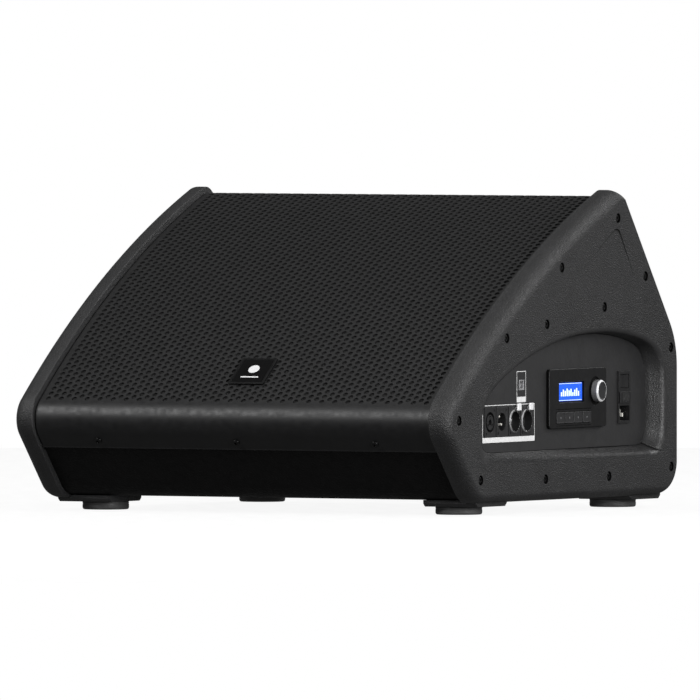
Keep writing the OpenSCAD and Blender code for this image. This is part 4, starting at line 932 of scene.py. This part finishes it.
# keys, each with a shallow dish and a small plain mark
for i in range(4):
    v0, v1 = KEY_V0 + i * KEY_W + 0.7, KEY_V0 + (i + 1) * KEY_W - 0.7
    z0, z1 = KEY_Z[0] + 0.4, KEY_Z[1] - 0.4
    bay_slab("button_%d.cap" % (i + 1), "button_%d" % (i + 1), SLOT_OF["button_1"], M["key"], rrect(v0, v1, z0, z1, 0.9),
             [(rrect(v0 + 1.3, v1 - 1.3, z0 + 1.2, z1 - 1.2, 0.8), BEZEL_H + 0.45, 0.25)], BEZEL_H - 3.4, BEZEL_H + 0.7, 0.45, replaces=("button_%d" % (i + 1),))
    b = Build()
    slab(b, in_bay, circle((v0 + v1) / 2, (z0 + z1) / 2, 1.0, 20), [], BEZEL_H + 0.42, BEZEL_H + 0.49, edge=0.02, steps=1)
    b.object("button_%d.mark" % (i + 1), [M["knob"]], "button_%d" % (i + 1), SLOT_OF["panel_marks"])

# knob: knurled side, a pale chamfer whose near-white, barely metallic colour is partly its silver finish and partly a
# painted highlight, dark dished face
b = Build()
u0 = BEZEL_H + 0.3
top = u0 + KNOB_H


def knurl(a, r, u):
    return r - (0.38 * (0.5 - 0.5 * math.cos(45 * a)) if u0 + 0.9 < u < top - 1.9 and r > 11 else 0.0)


lathe(b, at_axis(ENC_V, ENC_Z),
      [(3.06, u0 + 0.2), (10.9, u0), (11.45, u0 + 0.25), (11.6, u0 + 0.8), (11.6, u0 + 1.0), (11.6, u0 + 2.4), (11.6, top - 3.2), (11.6, top - 1.95), (11.6, top - 1.85),
       (11.55, top - 1.5), (11.2, top - 0.95), (10.6, top - 0.25), (10.2, top - 0.02), (9.7, top), (9.1, top), (8.85, top - 0.12), (8.6, top - 0.45),
       (6.0, top - 0.62), (2.5, top - 0.68), (0.35, top - 0.7)], n=360,
      mats=[0, 0, 0, 0, 0, 0, 0, 0, 1, 1, 1, 1, 1, 2, 2, 2, 2, 2, 2, 2])
b.object("encoder_knob.turned", [M["knob"], M["knob_ring"], M["knob_cap"]], "encoder_knob", SLOT_OF["encoder_knob"], replaces=("encoder_knob",))

# detailed copies of the moulded and pressed pieces, with their hard edges rounded
refined("connector_plate", M["panel"], 0.25)
refined("combo_jack", M["connector"], 0.22)
refined("xlr_socket", M["connector"], 0.22)
refined("xlr_pins", M["pins"], 0.35)


def on_ring(u, v, z):
    """The bright barrel of a network socket, which stands proud of its dark flange."""
    r = min(math.hypot(v - c, z - XLR_Z) for c in NET_V)
    return u > 0.9 and 10.3 < r < 12.2


refined("network_sockets", M["connector"], 0.25, other=M["ring"], choose=on_ring)
refined("network_latch_1", M["tab"], 1.6, segments=3)
refined("network_latch_2", M["tab"], 1.6, segments=3)
refined("usb_socket", M["usb"], 0.2)
refined("power_inlet", M["inlet"], 0.35)
refined("inlet_pins", M["pins"], 0.3)
refined("rocker_switch", M["inlet"], 0.35)
refined("fuse_drawer", M["inlet"], 0.3)
refined("cheek_screws", M["screw"], 0.2)
refined("grille_screws", M["screw"], 0.2)

# ---------------------------------------------------------------- CAD nodes that stay
LOOKS = {
    "side_panel_right": "painted", "side_panel_left": "painted", "bottom_panel": "painted", "rear_panel": "painted",
    "rear_slope_panel": "painted", "lower_front_panel": "painted", "baffle": "painted", "bass_ports": "port",
    "woofer_frame": "cast", "woofer_surround": "cloth", "woofer_spider": "spider", "woofer_cone": "paper", "voice_coil": "copper",
    "magnet_top_plate": "zinc", "ring_magnet": "ferrite", "pole_piece": "zinc", "hf_horn": "horn", "hf_driver": "cast", "hf_diaphragm": "foil",
    "amplifier_tray": "sheet", "amplifier_board": "board", "power_supply_board": "supply", "heatsink": "sheet", "io_board": "board",
    "board_spacers": "brass", "encoder_body": "steel", "encoder_shaft": "steel", "fuse": "glass", "driver_screws": "screw",
    "tray_screws": "zinc", "foot_screws": "zinc", "panel_marks": "ink", "speaker_leads": "lead",
}
for node, look in LOOKS.items():
    data = NODES[node].data
    data.materials.clear()
    data.materials.append(M[look])
